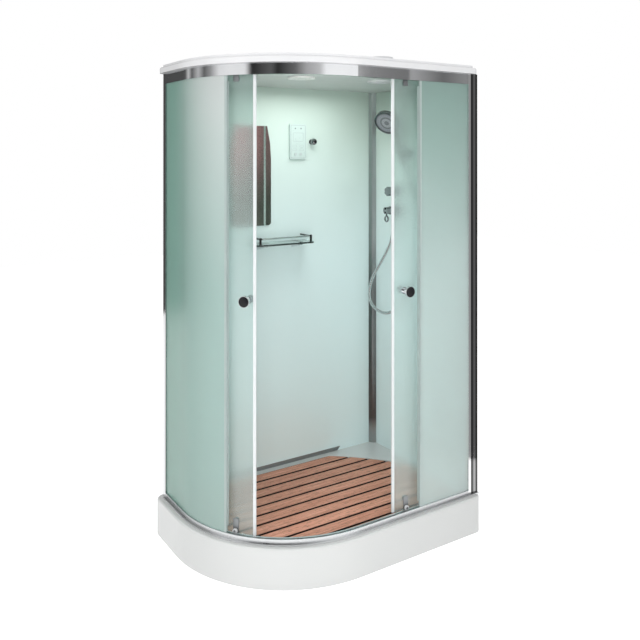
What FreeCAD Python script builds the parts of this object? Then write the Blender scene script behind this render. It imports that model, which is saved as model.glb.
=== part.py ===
import FreeCAD, Part
import math
import os
import re
import Sketcher
from FreeCAD import Placement, Rotation, Vector

# Steam shower cabin: an offset-quadrant tray with a wooden duckboard, two wall panels, two fixed
# and two sliding glass panels on curved rails, a roof, taps, hand shower, panel and steam plant.
# Frame: millimetres, +Z up, +X to the right along the long wall, +Y towards the back wall, with
# the origin on the floor under the middle of the tray. The doors are drawn open.
# "Inset" is a distance inwards from the tray's outer edge, so a curved piece and the straight
# piece that continues it have one inset. Angles turn about the centre of the tray's curve, from
# the left side (0) to the front (90).

SIZES = [
    # tray
    ("tray_length", 1200, "outer size along X"),
    ("tray_depth", 800, "outer size along Y"),
    ("tray_radius", 550, "outer radius of the curved front"),
    ("tray_height", 154, "floor to deck"),
    ("tray_corner", 40, "radius of the three square corners in plan"),
    ("tray_edge", 8, "round along the deck's outer edge"),
    ("acrylic", 4, "wall of the tray and of the roof"),
    ("basin_depth", 56, "deck to basin floor"),
    ("basin_rim", 72, "deck width along the curve"),
    ("basin_back", 60, "deck width along the back"),
    ("basin_side", 62, "deck width along the right side"),
    ("basin_corner", 30, "radius of the basin's corners in plan"),
    ("cut_radius", 1156, "radius of the arc that cuts the basin's far corner"),
    ("cut_side", 301, "length that the arc takes off the basin's right side"),
    ("cut_back", 263, "length that the arc takes off the basin's back"),
    # steel frame and feet under the tray
    ("tube", 25, "side of the square tube"),
    ("tube_wall", 2, "wall of the square tube"),
    ("front_tube", 170, "tray's front edge to the front tube"),
    ("back_tube", 150, "tray's back edge to the back tube"),
    ("left_tube", 220, "tray's left edge to the left cross tube"),
    ("frame_middle", 60, "X of the middle cross tube"),
    ("right_tube", 100, "tray's right edge to the right cross tube"),
    ("frame_end", 30, "tube beyond the outer cross tubes"),
    ("foot_radius", 24, "levelling foot"),
    ("foot_thickness", 10, "levelling foot"),
    ("foot_rod", 5, "radius of the foot's threaded rod"),
    ("foot_grip", 15, "rod inside the frame tube"),
    ("nut_radius", 9, "lock nut across its corners, as a radius"),
    ("nut_thickness", 8, "lock nut"),
    # waste
    ("waste_x", -160, "drain position"),
    ("waste_y", 10, "drain position"),
    ("waste_bore", 20, "radius of the drain's bore"),
    ("waste_neck", 24, "outer radius of the drain's neck"),
    ("waste_flange", 42, "radius of the drain's flange"),
    ("waste_flange_thickness", 3, "drain flange"),
    ("waste_reach", 20, "neck below the basin floor"),
    ("trap_radius", 45, "trap cup"),
    ("trap_wall", 3, "trap wall"),
    ("trap_height", 60, "trap cup"),
    ("spigot_radius", 20, "trap outlet, outside"),
    ("spigot_drop", 15, "trap cup's top to the outlet's top"),
    ("spigot_shoulder", 6, "thicker root of the outlet, beyond the cup"),
    ("spigot_length", 60, "outlet beyond its shoulder"),
    ("pipe_notch_width", 70, "notch in the tray's back skirt for the waste pipe"),
    ("pipe_notch_height", 72, "notch in the tray's back skirt for the waste pipe"),
    # duckboard
    ("slat_pitch", 71.5, "slat to slat"),
    ("slat_gap", 10, "gap between slats"),
    ("slat_thickness", 20, "slat"),
    ("slat_drop", 1, "slat top below the deck"),
    ("board_gap", 4, "duckboard to basin wall"),
    ("bearer_width", 40, "bearer under the slats"),
    ("bearer_left", -330, "X of the left bearer"),
    ("bearer_step", 330, "bearer to bearer"),
    ("bearer_inset", 8, "bearer end to basin wall"),
    # rails
    ("rail_inset", 30, "tray edge to the rails' outer face"),
    ("rail_depth", 20, "rail, across"),
    ("ledge", 12, "running ledge inside the rail"),
    ("ledge_thickness", 4, "running ledge"),
    ("bottom_rail_height", 22, "bottom rail"),
    ("bottom_ledge_rise", 9, "bottom ledge above the deck"),
    ("top_rail_height", 45, "top rail"),
    ("top_ledge_rise", 7, "top ledge above the top rail's lower edge"),
    ("eaves", 2008, "floor to the roof's underside"),
    ("groove_depth", 10, "bottom rail's glass groove"),
    ("top_groove_depth", 14, "top rail's glass groove"),
    ("sill", 6, "height of the sealing strip outside the bottom rail"),
    ("sill_width", 9, "sealing strip"),
    # glass
    ("glass", 5, "glass thickness"),
    ("glass_inset", 35, "tray edge to the fixed glass"),
    ("glass_play", 0.5, "glass to groove, each side"),
    ("door_inset", 66, "tray edge to the door glass"),
    ("fixed_angle", 30, "free edge of the left fixed glass"),
    ("fixed_right_width", 274, "right fixed glass, from its free edge to the column"),
    ("door_bottom", 14, "door glass above the deck"),
    ("door_top", 32, "door glass top below the eaves"),
    ("seal", 1.2, "wall of a seal"),
    ("seal_width", 10, "glass covered by a seal"),
    ("seal_play", 0.3, "seal to glass"),
    ("fin", 10, "fin of a seal"),
    ("fin_clear", 22, "fin ends short of the rails"),
    # doors, drawn open
    ("left_lead", 43, "angle of the left door's leading edge"),
    ("left_span", 54.5, "angle that the left door covers"),
    ("seam_angle", 81, "where the closed doors meet"),
    ("door_tail_gap", 3, "right door's trailing edge to the side wall"),
    ("door_flat", 344, "flat part of the right door"),
    ("left_knob_angle", 39.3, "left knob"),
    ("right_knob_angle", 88, "right knob"),
    ("knob_height", 1085, "knobs above the floor"),
    ("knob_reach", 48, "knob out from the glass"),
    ("knob_radius", 22.5, "knob"),
    ("knob_thickness", 14, "knob"),
    ("knob_neck", 9, "radius of the knob's neck"),
    ("knob_base", 15, "radius of the knob's base"),
    ("knob_base_thickness", 5, "knob base"),
    ("inner_knob_radius", 16, "knob inside the cabin"),
    ("inner_knob_reach", 22, "knob inside the cabin"),
    ("bolt_hole", 5, "radius of a hole in the door glass"),
    ("bolt", 4, "radius of a bolt through the glass"),
    # rollers
    ("top_wheel", 12, "radius of a top wheel"),
    ("bottom_wheel", 10, "radius of a bottom wheel"),
    ("wheel_width", 7, "wheel"),
    ("wheel_inset", 53.3, "tray edge to the wheel's outer face"),
    ("wheel_bore", 3.05, "radius of a wheel's bore"),
    ("axle", 3, "radius of a wheel's axle"),
    ("axle_head", 5, "radius of an axle's head"),
    ("axle_head_thickness", 1.5, "axle head"),
    ("wheel_lift", 0.3, "wheel above its ledge"),
    ("bracket_width", 24, "roller bracket"),
    ("bracket_thickness", 3, "roller bracket"),
    ("bracket_edge", 10, "bracket beyond the axle and the bolt"),
    ("bracket_bolt", 36, "axle to bolt"),
    ("bracket_play", 0.3, "bracket to glass"),
    ("bracket_cap", 11, "radius of the cap inside the glass"),
    ("bracket_cap_thickness", 6, "cap inside the glass"),
    ("left_lead_wheel", 33, "angle of the left door's leading wheels"),
    ("left_tail_wheel", 0, "angle of the left door's trailing wheels"),
    ("right_lead_wheel", 89, "angle of the right door's leading wheels"),
    ("right_tail_wheel", 33, "trailing wheels to the right door's trailing edge"),
    # walls and columns
    ("wall_inset", 22, "tray edge to the walls' outer faces"),
    ("wall", 5, "wall panel thickness"),
    ("column_width", 53, "right column, seen from the front"),
    ("column_depth", 20, "columns, across the rails"),
    ("column_wrap", 20, "right column outside the side wall"),
    ("column_leg", 30, "right column's leg along the side wall"),
    ("left_column_width", 28, "left column, along Y"),
    ("trim", 28, "corner trim along each wall"),
    ("trim_bulge", 4, "corner trim's crown"),
    ("base_trim_height", 18, "steel strip at the foot of the back wall"),
    ("base_trim_thickness", 2, "steel strip"),
    ("base_trim_gap", 208, "strip's right end to the side wall"),
    # roof and ceiling
    ("roof_inset", 9, "tray edge to the roof's edge"),
    ("roof_rim", 26, "height of the roof's edge"),
    ("roof_edge", 8, "round along the roof's upper edge"),
    ("roof_corner", 32, "radius of the roof's corners in plan"),
    ("roof_step", 12, "the crown starts this far inside the edge"),
    ("roof_shoulder", 10, "crown's upright part"),
    ("roof_slope", 150, "width of the crown's slope"),
    ("roof_rise", 18, "height of the crown's slope"),
    ("roof_flange", 84, "width of the roof's underside flange at the curve"),
    ("ceiling_inset", 86, "tray edge to the ceiling panel at the curve"),
    ("ceiling_drop", 33, "ceiling below the eaves"),
    ("ceiling_wall", 4, "ceiling panel"),
    ("ceiling_play", 0.3, "ceiling panel to walls"),
    ("ceiling_lap", 8, "flange over the ceiling panel's edge"),
    ("lamp_x", -150, "ceiling lamp"),
    ("lamp_y", -100, "ceiling lamp"),
    ("lamp_radius", 58, "ceiling lamp"),
    ("lamp_thickness", 6, "ceiling lamp"),
    # extractor fan
    ("fan_x", 230, "fan position"),
    ("fan_y", -150, "fan position"),
    ("fan_radius", 52, "fan duct, outside"),
    ("fan_wall", 3, "fan duct"),
    ("fan_play", 0.4, "duct to its holes"),
    ("fan_flange", 62, "radius of the grille's flange"),
    ("fan_flange_thickness", 4, "grille flange"),
    ("fan_bar", 4, "grille bar"),
    ("fan_collar", 58, "radius of the collar that holds the duct on the roof"),
    ("fan_collar_thickness", 3, "collar"),
    ("fan_spigot", 15, "duct above the collar"),
    ("motor_radius", 17, "fan motor"),
    ("motor_height", 30, "fan motor"),
    ("motor_base", 2026, "floor to the motor's underside"),
    ("motor_shaft", 2.5, "radius of the motor's shaft"),
    ("shaft_play", 0.05, "shaft to rotor bore"),
    ("rotor_hub", 14, "radius of the rotor's hub"),
    ("rotor_height", 16, "rotor"),
    ("rotor_gap", 4, "rotor below the motor"),
    ("blade_reach", 46, "radius of the blades' tips"),
    ("blade_width", 16, "blade"),
    ("blade_thickness", 2, "blade"),
    ("blade_tilt", 35, "blade pitch"),
    # back wall fittings
    ("mirror_x", -143.5, "mirror's middle"),
    ("mirror_width", 213, "mirror"),
    ("mirror_rise", 80, "shelf to mirror"),
    ("mirror_height", 473, "mirror"),
    ("mirror_waist", 21, "the sides draw in by this at the top"),
    ("mirror_taper", 160, "height of the drawn-in part"),
    ("mirror_round", 16, "radius of the lower corners"),
    ("mirror_thickness", 5, "mirror"),
    ("shelf_x", -5.5, "shelf's middle"),
    ("shelf_length", 311, "shelf glass"),
    ("shelf_depth", 105, "shelf glass"),
    ("shelf_height", 1236, "floor to the shelf's top"),
    ("shelf_thickness", 8, "shelf glass"),
    ("shelf_round", 18, "radius of the shelf's front corners"),
    ("gallery_inset", 19, "rail end to the shelf's end"),
    ("gallery_front", 9, "rail to the shelf's front edge"),
    ("gallery_height", 30, "rail above the shelf"),
    ("gallery_rod", 4, "radius of the rail"),
    ("gallery_post", 5.5, "radius of the rail's posts"),
    ("shelf_bracket_width", 22, "bracket under the shelf"),
    ("shelf_bracket_depth", 70, "bracket under the shelf"),
    ("shelf_bracket_height", 26, "bracket under the shelf"),
    ("shelf_bracket_tip", 8, "bracket's height at its front"),
    ("shelf_bracket_inset", 50, "bracket to the shelf's end"),
    ("panel_x", 110.5, "control panel's middle"),
    ("panel_z", 1716.5, "control panel's middle"),
    ("panel_width", 93, "control panel"),
    ("panel_height", 171, "control panel"),
    ("panel_thickness", 11, "control panel"),
    ("panel_corner", 7, "radius of the panel's corners"),
    ("button_radius", 7, "push button"),
    ("button_play", 0.3, "button to its bore"),
    ("button_step", 31, "button to button"),
    ("button_rise", 24, "panel's lower edge to the buttons"),
    ("button_proud", 1.6, "button out of the panel"),
    ("button_depth", 4, "button inside the panel"),
    ("button_travel", 1.2, "push"),
    ("hook_x", 190, "robe hook"),
    ("hook_z", 1716, "robe hook"),
    ("hook_base", 12, "radius of the hook's base"),
    ("hook_base_thickness", 4, "hook base"),
    ("hook_neck", 6, "radius of the hook's neck"),
    ("hook_reach", 28, "wall to the ball's centre"),
    ("hook_ball", 16, "radius of the ball"),
    # side wall fittings
    ("tap_back", 208, "mixer and diverter to the back wall"),
    ("mixer_z", 1375, "mixer"),
    ("diverter_z", 1470, "diverter"),
    ("plate_radius", 32, "wall plate of a tap"),
    ("plate_thickness", 8, "wall plate of a tap"),
    ("tap_bore", 14, "radius of the wall's hole for a tap"),
    ("tap_neck", 13.5, "radius of a tap's neck through the wall"),
    ("tap_barrel", 21, "radius of a tap's barrel"),
    ("mixer_barrel", 40, "mixer's barrel beyond its plate"),
    ("diverter_barrel", 28, "diverter's barrel beyond its plate"),
    ("tap_gap", 0.3, "barrel to what turns on it"),
    ("block_width", 76, "valve block behind the wall"),
    ("block_drop", 34, "valve block's lower edge below the mixer"),
    ("block_depth", 20, "valve block behind the wall"),
    ("inlet_step", 40, "hot inlet to cold inlet"),
    ("inlet_radius", 7.5, "inlet stub"),
    ("inlet_length", 16, "inlet stub"),
    ("spindle", 6, "radius of a tap's spindle"),
    ("spindle_length", 12, "spindle beyond the barrel"),
    ("spindle_play", 0.05, "spindle to its bore"),
    ("hub_radius", 17, "mixer's turning cap"),
    ("hub_length", 30, "mixer's turning cap"),
    ("lever_pin", 3, "radius of the lever's pin"),
    ("lever_play", 0.05, "lever's bore to its pin"),
    ("lever_width", 12, "lever across its pin"),
    ("lever_radius", 8, "lever's eye"),
    ("lever_rod", 4, "radius of the lever's loop"),
    ("loop_radius", 13, "middle radius of the lever's loop"),
    ("loop_drop", 41, "hub's axis to the loop's centre"),
    ("fork_gap", 0.3, "lever to each side of its slot"),
    ("knob_grip", 23, "radius of the diverter's knob"),
    ("knob_grip_length", 30, "diverter's knob"),
    ("knob_lobe", 7, "radius of the hollows round the knob"),
    ("outlet_reach", 28, "wall to the hose outlet"),
    ("outlet_radius", 11, "hose outlet"),
    ("outlet_drop", 40, "hose outlet below the mixer's axis"),
    ("riser_radius", 7, "pipe between the two valve blocks"),
    # hand shower
    ("head_reach", 103, "hand shower's head to the side wall"),
    ("head_back", 251, "hand shower's head to the back wall"),
    ("head_z", 1806, "hand shower's head"),
    ("head_radius", 64, "head"),
    ("head_thickness", 17, "head's rim"),
    ("face_radius", 58, "spray face"),
    ("face_thickness", 4, "spray face"),
    ("handle_length", 155, "handle's upper end to its lower end"),
    ("handle_top", 13, "handle radius at the head"),
    ("handle_shoulder", 14.5, "handle radius just above the holder"),
    ("handle_seat", 12, "handle radius above the holder"),
    ("handle_end", 10.5, "handle radius at its end"),
    ("seat_play", 0.4, "handle to holder"),
    ("holder_from_head", 128, "handle's upper end to the holder's middle"),
    ("holder_height", 30, "holder's socket"),
    ("holder_wall", 5, "holder's socket"),
    ("holder_arm", 9, "radius of the holder's arm"),
    ("holder_plate", 24, "radius of the holder's wall plate"),
    ("holder_plate_thickness", 7, "holder's wall plate"),
    # hose
    ("hose_radius", 7, "shower hose"),
    ("hose_rise", 100, "hose's last straight run"),
    ("nut_outer", 10, "hose nut"),
    ("nut_length", 17, "hose nut"),
    # steam plant
    ("boiler_length", 190, "steam generator along X"),
    ("boiler_depth", 112, "steam generator along Y"),
    ("boiler_height", 104, "steam generator"),
    ("boiler_side", 10, "generator to the tray's right edge"),
    ("boiler_back", 25, "generator to the tray's back edge"),
    ("boiler_edge", 6, "round of the generator's upright edges"),
    ("steam_radius", 5, "steam pipe"),
    ("steam_z", 300, "steam outlet above the floor"),
    ("steam_outlet_y", -60, "steam outlet"),
    ("steam_clear", 2, "pipe to wall"),
    ("steam_bore", 6, "radius of the pipe's holes"),
    ("steam_nozzle", 20, "radius of the steam outlet's cap"),
    ("steam_nozzle_reach", 24, "steam outlet's cap"),
]

doc = FreeCAD.newDocument("SteamShowerCabin")
sheet = doc.addObject("Spreadsheet::Sheet", "Sizes")
for row, (alias, number, meaning) in enumerate(SIZES, 1):
    sheet.set(f"A{row}", meaning)
    sheet.set(f"B{row}", str(number))
    sheet.setAlias(f"B{row}", alias)
doc.recompute()

ALIASES = {alias for alias, number, meaning in SIZES}

# Lengths that several pieces share, written in terms of the sheet.
NAMED = {
    "arc_x": "(tray_radius - tray_length / 2)",
    "arc_y": "(tray_radius - tray_depth / 2)",
    "right_edge": "(tray_length / 2)",
    "back_edge": "(tray_depth / 2)",
    "wall_x": "(tray_length / 2 - wall_inset - wall)",
    "wall_y": "(tray_depth / 2 - wall_inset - wall)",
    "floor_z": "(tray_height - basin_depth)",
    "rail_base": "(tray_height + bottom_rail_height)",
    "top_rail_z": "(eaves - top_rail_height)",
    "ceiling_z": "(eaves - ceiling_drop)",
    "roof_top": "(eaves + roof_rim + roof_shoulder + roof_rise)",
    "column_x": "(tray_length / 2 - wall_inset + column_wrap - column_width)",
    "column_y": "(tray_depth / 2 - wall_inset - left_column_width)",
    "front_y": "(rail_inset - tray_depth / 2)",
    "door_radius": "(tray_radius - door_inset)",
    "bottom_axle": "(tray_height + bottom_ledge_rise + ledge_thickness + wheel_lift + bottom_wheel)",
    "top_axle": "(eaves - top_rail_height + top_ledge_rise + ledge_thickness + wheel_lift + top_wheel)",
    "boiler_x": "(tray_length / 2 - boiler_side - boiler_length)",
    "boiler_y": "(tray_depth / 2 - boiler_back - boiler_depth)",
    "steam_y": "(tray_depth / 2 - boiler_back - boiler_depth / 2)",
    "frame_front": "(front_tube - tray_depth / 2)",
    "frame_back": "(tray_depth / 2 - back_tube)",
    "frame_left": "(left_tube - tray_length / 2)",
    "frame_right": "(tray_length / 2 - right_tube)",
    "basin_right": "(tray_length / 2 - basin_side)",
    "basin_top": "(tray_depth / 2 - basin_back)",
    "cut_chord": "sqrt(cut_side ^ 2 + cut_back ^ 2)",
    "mirror_bottom": "(shelf_height + mirror_rise)",
    "tap_y": "(tray_depth / 2 - wall_inset - wall - tap_back)",
    "tail_x": "(tray_length / 2 - wall_inset - wall - door_tail_gap)",
    "fixed_right_x": "(tray_length / 2 - wall_inset + column_wrap - column_width - fixed_right_width)",
    "steam_x": "(tray_length / 2 - wall_inset + steam_clear + steam_radius)",
}


NAMED["bend_x"] = f"({NAMED['tail_x']} - door_flat)"
NAMED["tail_wheel_x"] = f"({NAMED['tail_x']} - right_tail_wheel)"
CUT_HEIGHT = "sqrt(cut_radius ^ 2 - (cut_side ^ 2 + cut_back ^ 2) / 4)"
NAMED["cut_x"] = (f"({NAMED['basin_right']} - cut_back / 2"
                  f" - cut_side / {NAMED['cut_chord']} * {CUT_HEIGHT})")
NAMED["cut_y"] = (f"({NAMED['basin_top']} - cut_side / 2"
                  f" - cut_back / {NAMED['cut_chord']} * {CUT_HEIGHT})")


def formula(text):
    """The text with each short name written out in terms of the sheet's cells."""
    text = re.sub(r"[a-z][a-z_0-9]*", lambda word: NAMED.get(word.group(), word.group()), str(text))
    return re.sub(
        r"[a-z][a-z_0-9]*",
        lambda word: f"Sizes.{word.group()}" if word.group() in ALIASES else word.group(),
        text,
    )


def mm(text):
    """The number that a formula gives."""
    found = sheet.evalExpression(formula(text))
    return float(getattr(found, "Value", found))


def bind(thing, sizes):
    for path, text in sizes.items():
        thing.setExpression(path, formula(text))


# ---------------------------------------------------------------- solids

TURNS = {
    "+x": Rotation(Vector(0, 1, 0), 90),
    "-x": Rotation(Vector(0, 1, 0), -90),
    "+y": Rotation(Vector(1, 0, 0), -90),
    "-y": Rotation(Vector(1, 0, 0), 90),
    "+z": Rotation(),
    "-z": Rotation(Vector(1, 0, 0), 180),
}
pieces = []


def piece(label, thing):
    """Names a finished sub-part."""
    thing.Label = label
    pieces.append(thing)
    return thing


def place(thing, x, y, z, turn="+z"):
    thing.Placement = Placement(Vector(), TURNS[turn])
    bind(thing, {"Placement.Base.x": x, "Placement.Base.y": y, "Placement.Base.z": z})
    return thing


def box(x, y, z, length, width, height):
    """A block from its lowest corner."""
    block = doc.addObject("Part::Box", "Block")
    bind(block, {"Length": length, "Width": width, "Height": height})
    return place(block, x, y, z)


def rod(x, y, z, radius, length, turn="+z"):
    """A round bar that starts at a point and runs along an axis."""
    bar = doc.addObject("Part::Cylinder", "Rod")
    bind(bar, {"Radius": radius, "Height": length})
    return place(bar, x, y, z, turn)


def cone(x, y, z, start, end, length, turn="+z"):
    bar = doc.addObject("Part::Cone", "Cone")
    bind(bar, {"Radius1": start, "Radius2": end, "Height": length})
    return place(bar, x, y, z, turn)


def cut(base, *tools):
    result = doc.addObject("Part::Cut", "Cut")
    result.Base = base
    result.Tool = tools[0] if len(tools) == 1 else fuse(*tools)
    result.Refine = True
    return result


def fuse(*parts):
    result = doc.addObject("Part::MultiFuse", "Union")
    result.Shapes = list(parts)
    result.Refine = True
    return result


def group(*parts):
    """Separate solids in one sub-part."""
    result = doc.addObject("Part::Compound", "Group")
    result.Links = list(parts)
    return result


def ring(x, y, z, outer, inner, height, turn="+z"):
    return cut(rod(x, y, z, outer, height, turn), rod(x, y, z, inner, height, turn))


def sector(outer, inner, start, span, z, height, x="arc_x"):
    """An upright curved band between two insets, from one angle over a span."""
    band_out = rod(x, "arc_y", z, f"tray_radius - ({outer})", height)
    bind(band_out, {"Angle": span, "Placement.Rotation.Angle": f"180 + ({start})"})
    return cut(band_out, rod(x, "arc_y", z, f"tray_radius - ({inner})", height))


def on_glass(thing, angle, x="arc_x"):
    """Swings a thing drawn at angle 0 about the curve's upright axis, which stands at x."""
    place(thing, x, "arc_y", "0")
    bind(thing, {"Placement.Rotation.Angle": angle})
    return thing


# ---------------------------------------------------------------- sketched bodies


def new_body(name):
    return doc.addObject("PartDesign::Body", name)


def new_sketch(body, plane="XY_Plane", height="0"):
    """A sketch on one of the body's own planes, moved along the plane's normal."""
    sketch = body.newObject("Sketcher::SketchObject", "Sketch")
    found = [datum for datum in body.Origin.OriginFeatures if datum.Role == plane]
    sketch.AttachmentSupport = [(found[0], "")]
    sketch.MapMode = "FlatFace"
    bind(sketch, {"AttachmentOffset.Base.z": height})
    return sketch


def pad(body, sketch, length, reverse=False):
    feature = body.newObject("PartDesign::Pad", "Pad")
    feature.Profile = sketch
    feature.Reversed = reverse
    bind(feature, {"Length": length})
    body.Tip = feature
    return feature


def pocket(body, sketch, depth, upward=False):
    """Cuts below the sketch, or above it."""
    doc.recompute()
    before = body.Shape.Volume
    feature = body.newObject("PartDesign::Pocket", "Pocket")
    feature.Profile = sketch
    feature.Reversed = upward
    bind(feature, {"Length": depth})
    body.Tip = feature
    doc.recompute()
    if body.Shape.Volume > before - 1:
        raise ValueError(f"{body.Name}: a pocket removes nothing")
    return feature


def fillet(body, radius, wanted):
    """Rounds the edges of the body that a test picks."""
    doc.recompute()
    tip = body.Tip
    edges = [f"Edge{n}" for n, edge in enumerate(tip.Shape.Edges, 1) if wanted(edge)]
    feature = body.newObject("PartDesign::Fillet", "Fillet")
    feature.Base = (tip, edges)
    bind(feature, {"Radius": radius})
    body.Tip = feature
    return feature


def upright(edge):
    first, last = edge.Vertexes[0].Point, edge.Vertexes[-1].Point
    return abs(first.z - last.z) > 1 and abs(first.x - last.x) + abs(first.y - last.y) < 0.01


def at_height(edge, z):
    return all(abs(vertex.Z - z) < 0.01 for vertex in edge.Vertexes)


START, END, CENTRE = range(1, 4)


def line(sketch, x0, y0, x1, y1):
    return sketch.addGeometry(Part.LineSegment(Vector(x0, y0, 0), Vector(x1, y1, 0)), False)


def arc(sketch, x, y, radius, start, end):
    circle = Part.Circle(Vector(x, y, 0), Vector(0, 0, 1), radius)
    edge = Part.ArcOfCircle(circle, math.radians(start), math.radians(end))
    return sketch.addGeometry(edge, False)


def tie(sketch, kind, *where):
    sketch.addConstraint(Sketcher.Constraint(kind, *where))


def drive(sketch, kind, where, text):
    """A dimension that follows a formula."""
    number = sketch.addConstraint(Sketcher.Constraint(kind, *where, mm(text)))
    sketch.setExpression(f"Constraints[{number}]", formula(text))


def drive_point(sketch, geometry, end, x=None, y=None):
    if x is not None:
        drive(sketch, "DistanceX", (-1, START, geometry, end), x)
    if y is not None:
        drive(sketch, "DistanceY", (-1, START, geometry, end), y)


def circle_at(sketch, x, y, radius):
    middle = Vector(mm(x), mm(y), 0)
    number = sketch.addGeometry(Part.Circle(middle, Vector(0, 0, 1), mm(radius)), False)
    drive(sketch, "Radius", (number,), radius)
    drive_point(sketch, number, CENTRE, x, y)


def polygon(sketch, corners):
    """A closed figure of straight sides, each corner placed by its two formulas."""
    points = [(mm(x), mm(y)) for x, y in corners]
    count = len(points)
    sides = [line(sketch, *points[n], *points[(n + 1) % count]) for n in range(count)]
    for n, side in enumerate(sides):
        tie(sketch, "Coincident", side, END, sides[(n + 1) % count], START)
        drive_point(sketch, side, START, *corners[n])


def rectangle(sketch, left, low, right, high):
    polygon(sketch, [(left, low), (right, low), (right, high), (left, high)])


def outline(sketch, inset, right, back, corner, cut_arc=None):
    """The tray's plan at an inset: left side, quarter curve, front, right side and back.
    The square corners have a radius; an arc may cut off the far one."""
    radius = f"tray_radius - ({inset})"
    cx, cy, r, c = mm("arc_x"), mm("arc_y"), mm(radius), mm(corner)
    left, front, x1, y1 = cx - r, cy - r, mm(right), mm(back)
    side_end, back_start = y1 - c, x1 - c
    if cut_arc:
        kx, ky, kr = mm("cut_x"), mm("cut_y"), mm(cut_arc)
        side_end = ky + (kr**2 - (x1 - kx) ** 2) ** 0.5
        back_start = kx + (kr**2 - (y1 - ky) ** 2) ** 0.5
    side = line(sketch, left, y1 - c, left, cy)
    curve = arc(sketch, cx, cy, r, 180, 270)
    face = line(sketch, cx, front, x1 - c, front)
    near = arc(sketch, x1 - c, front + c, c, 270, 360)
    flank = line(sketch, x1, front + c, x1, side_end)
    if cut_arc:
        first = Vector(x1 - kx, side_end - ky, 0)
        last = Vector(back_start - kx, y1 - ky, 0)
        angles = [math.degrees(math.atan2(v.y, v.x)) for v in (first, last)]
        far = arc(sketch, kx, ky, kr, *angles)
    else:
        far = arc(sketch, x1 - c, y1 - c, c, 0, 90)
    rear = line(sketch, back_start, y1, left + c, y1)
    last_corner = arc(sketch, left + c, y1 - c, c, 90, 180)
    chain = [side, curve, face, near, flank, far, rear, last_corner]
    for n, edge in enumerate(chain):
        following = chain[(n + 1) % len(chain)]
        smooth = not (cut_arc and far in (edge, following))
        tie(sketch, "Tangent" if smooth else "Coincident", edge, END, following, START)
    tie(sketch, "Vertical", side)
    tie(sketch, "Vertical", flank)
    tie(sketch, "Horizontal", face)
    tie(sketch, "Horizontal", rear)
    drive(sketch, "Radius", (curve,), radius)
    drive(sketch, "Radius", (near,), corner)
    drive(sketch, "Radius", (last_corner,), corner)
    drive(sketch, "Radius", (far,), cut_arc or corner)
    drive_point(sketch, curve, CENTRE, "arc_x", "arc_y")
    if cut_arc:
        drive_point(sketch, far, CENTRE, "cut_x", "cut_y")
    drive_point(sketch, flank, START, x=right)
    drive_point(sketch, rear, START, y=back)


def band(sketch, outer, inner, back, right):
    """The plan of a rail between two insets: left side, quarter curve and front."""
    cx, cy, y1, x1 = mm("arc_x"), mm("arc_y"), mm(back), mm(right)
    r, q = mm(f"tray_radius - ({outer})"), mm(f"tray_radius - ({inner})")
    side = line(sketch, cx - r, y1, cx - r, cy)
    curve = arc(sketch, cx, cy, r, 180, 270)
    face = line(sketch, cx, cy - r, x1, cy - r)
    end = line(sketch, x1, cy - r, x1, cy - q)
    inner_face = line(sketch, x1, cy - q, cx, cy - q)
    inner_curve = arc(sketch, cx, cy, q, 180, 270)
    inner_side = line(sketch, cx - q, cy, cx - q, y1)
    start = line(sketch, cx - q, y1, cx - r, y1)
    tie(sketch, "Tangent", side, END, curve, START)
    tie(sketch, "Tangent", curve, END, face, START)
    tie(sketch, "Coincident", face, END, end, START)
    tie(sketch, "Coincident", end, END, inner_face, START)
    tie(sketch, "Tangent", inner_face, END, inner_curve, END)
    tie(sketch, "Tangent", inner_curve, START, inner_side, START)
    tie(sketch, "Coincident", inner_side, END, start, START)
    tie(sketch, "Coincident", start, END, side, START)
    for edge in (side, end, inner_side):
        tie(sketch, "Vertical", edge)
    for edge in (face, inner_face, start):
        tie(sketch, "Horizontal", edge)
    tie(sketch, "Coincident", curve, CENTRE, inner_curve, CENTRE)
    drive(sketch, "Radius", (curve,), f"tray_radius - ({outer})")
    drive(sketch, "Radius", (inner_curve,), f"tray_radius - ({inner})")
    drive_point(sketch, curve, CENTRE, "arc_x", "arc_y")
    drive_point(sketch, end, START, x=right)
    drive_point(sketch, start, START, y=back)


def basin_plan(sketch, grow):
    """The basin's plan, grown outwards all round."""
    outline(
        sketch,
        f"basin_rim - ({grow})",
        f"basin_right + ({grow})",
        f"basin_top + ({grow})",
        f"max(basin_corner + ({grow}); basin_corner / 2)",
        f"cut_radius + ({grow})",
    )


# ---------------------------------------------------------------- tray and what is under it


def tray_shell():
    body = new_body("Tray")
    plan = new_sketch(body)
    outline(plan, "0", "right_edge", "back_edge", "tray_corner")
    pad(body, plan, "tray_height")
    top = mm("tray_height")
    fillet(body, "tray_edge", lambda edge: at_height(edge, top))
    basin = new_sketch(body, height="tray_height")
    basin_plan(basin, "0")
    pocket(body, basin, "basin_depth")
    below = new_sketch(body)
    outline(below, "acrylic", "right_edge - acrylic", "back_edge - acrylic", "tray_corner - acrylic")
    pocket(body, below, "floor_z - acrylic", upward=True)
    around = new_sketch(body)
    outline(around, "acrylic", "right_edge - acrylic", "back_edge - acrylic", "tray_corner - acrylic")
    basin_plan(around, "acrylic")
    pocket(body, around, "tray_height - acrylic", upward=True)
    drain = new_sketch(body)
    circle_at(drain, "waste_x", "waste_y", "waste_neck + glass_play")
    circle_at(drain, "steam_x", "steam_y", "steam_bore")
    pocket(body, drain, "tray_height", upward=True)
    notch = box("waste_x - pipe_notch_width / 2", "back_edge - 2 * acrylic", "0",
                "pipe_notch_width", "3 * acrylic", "pipe_notch_height")
    piece("tray_shell", cut(body, notch))


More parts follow.
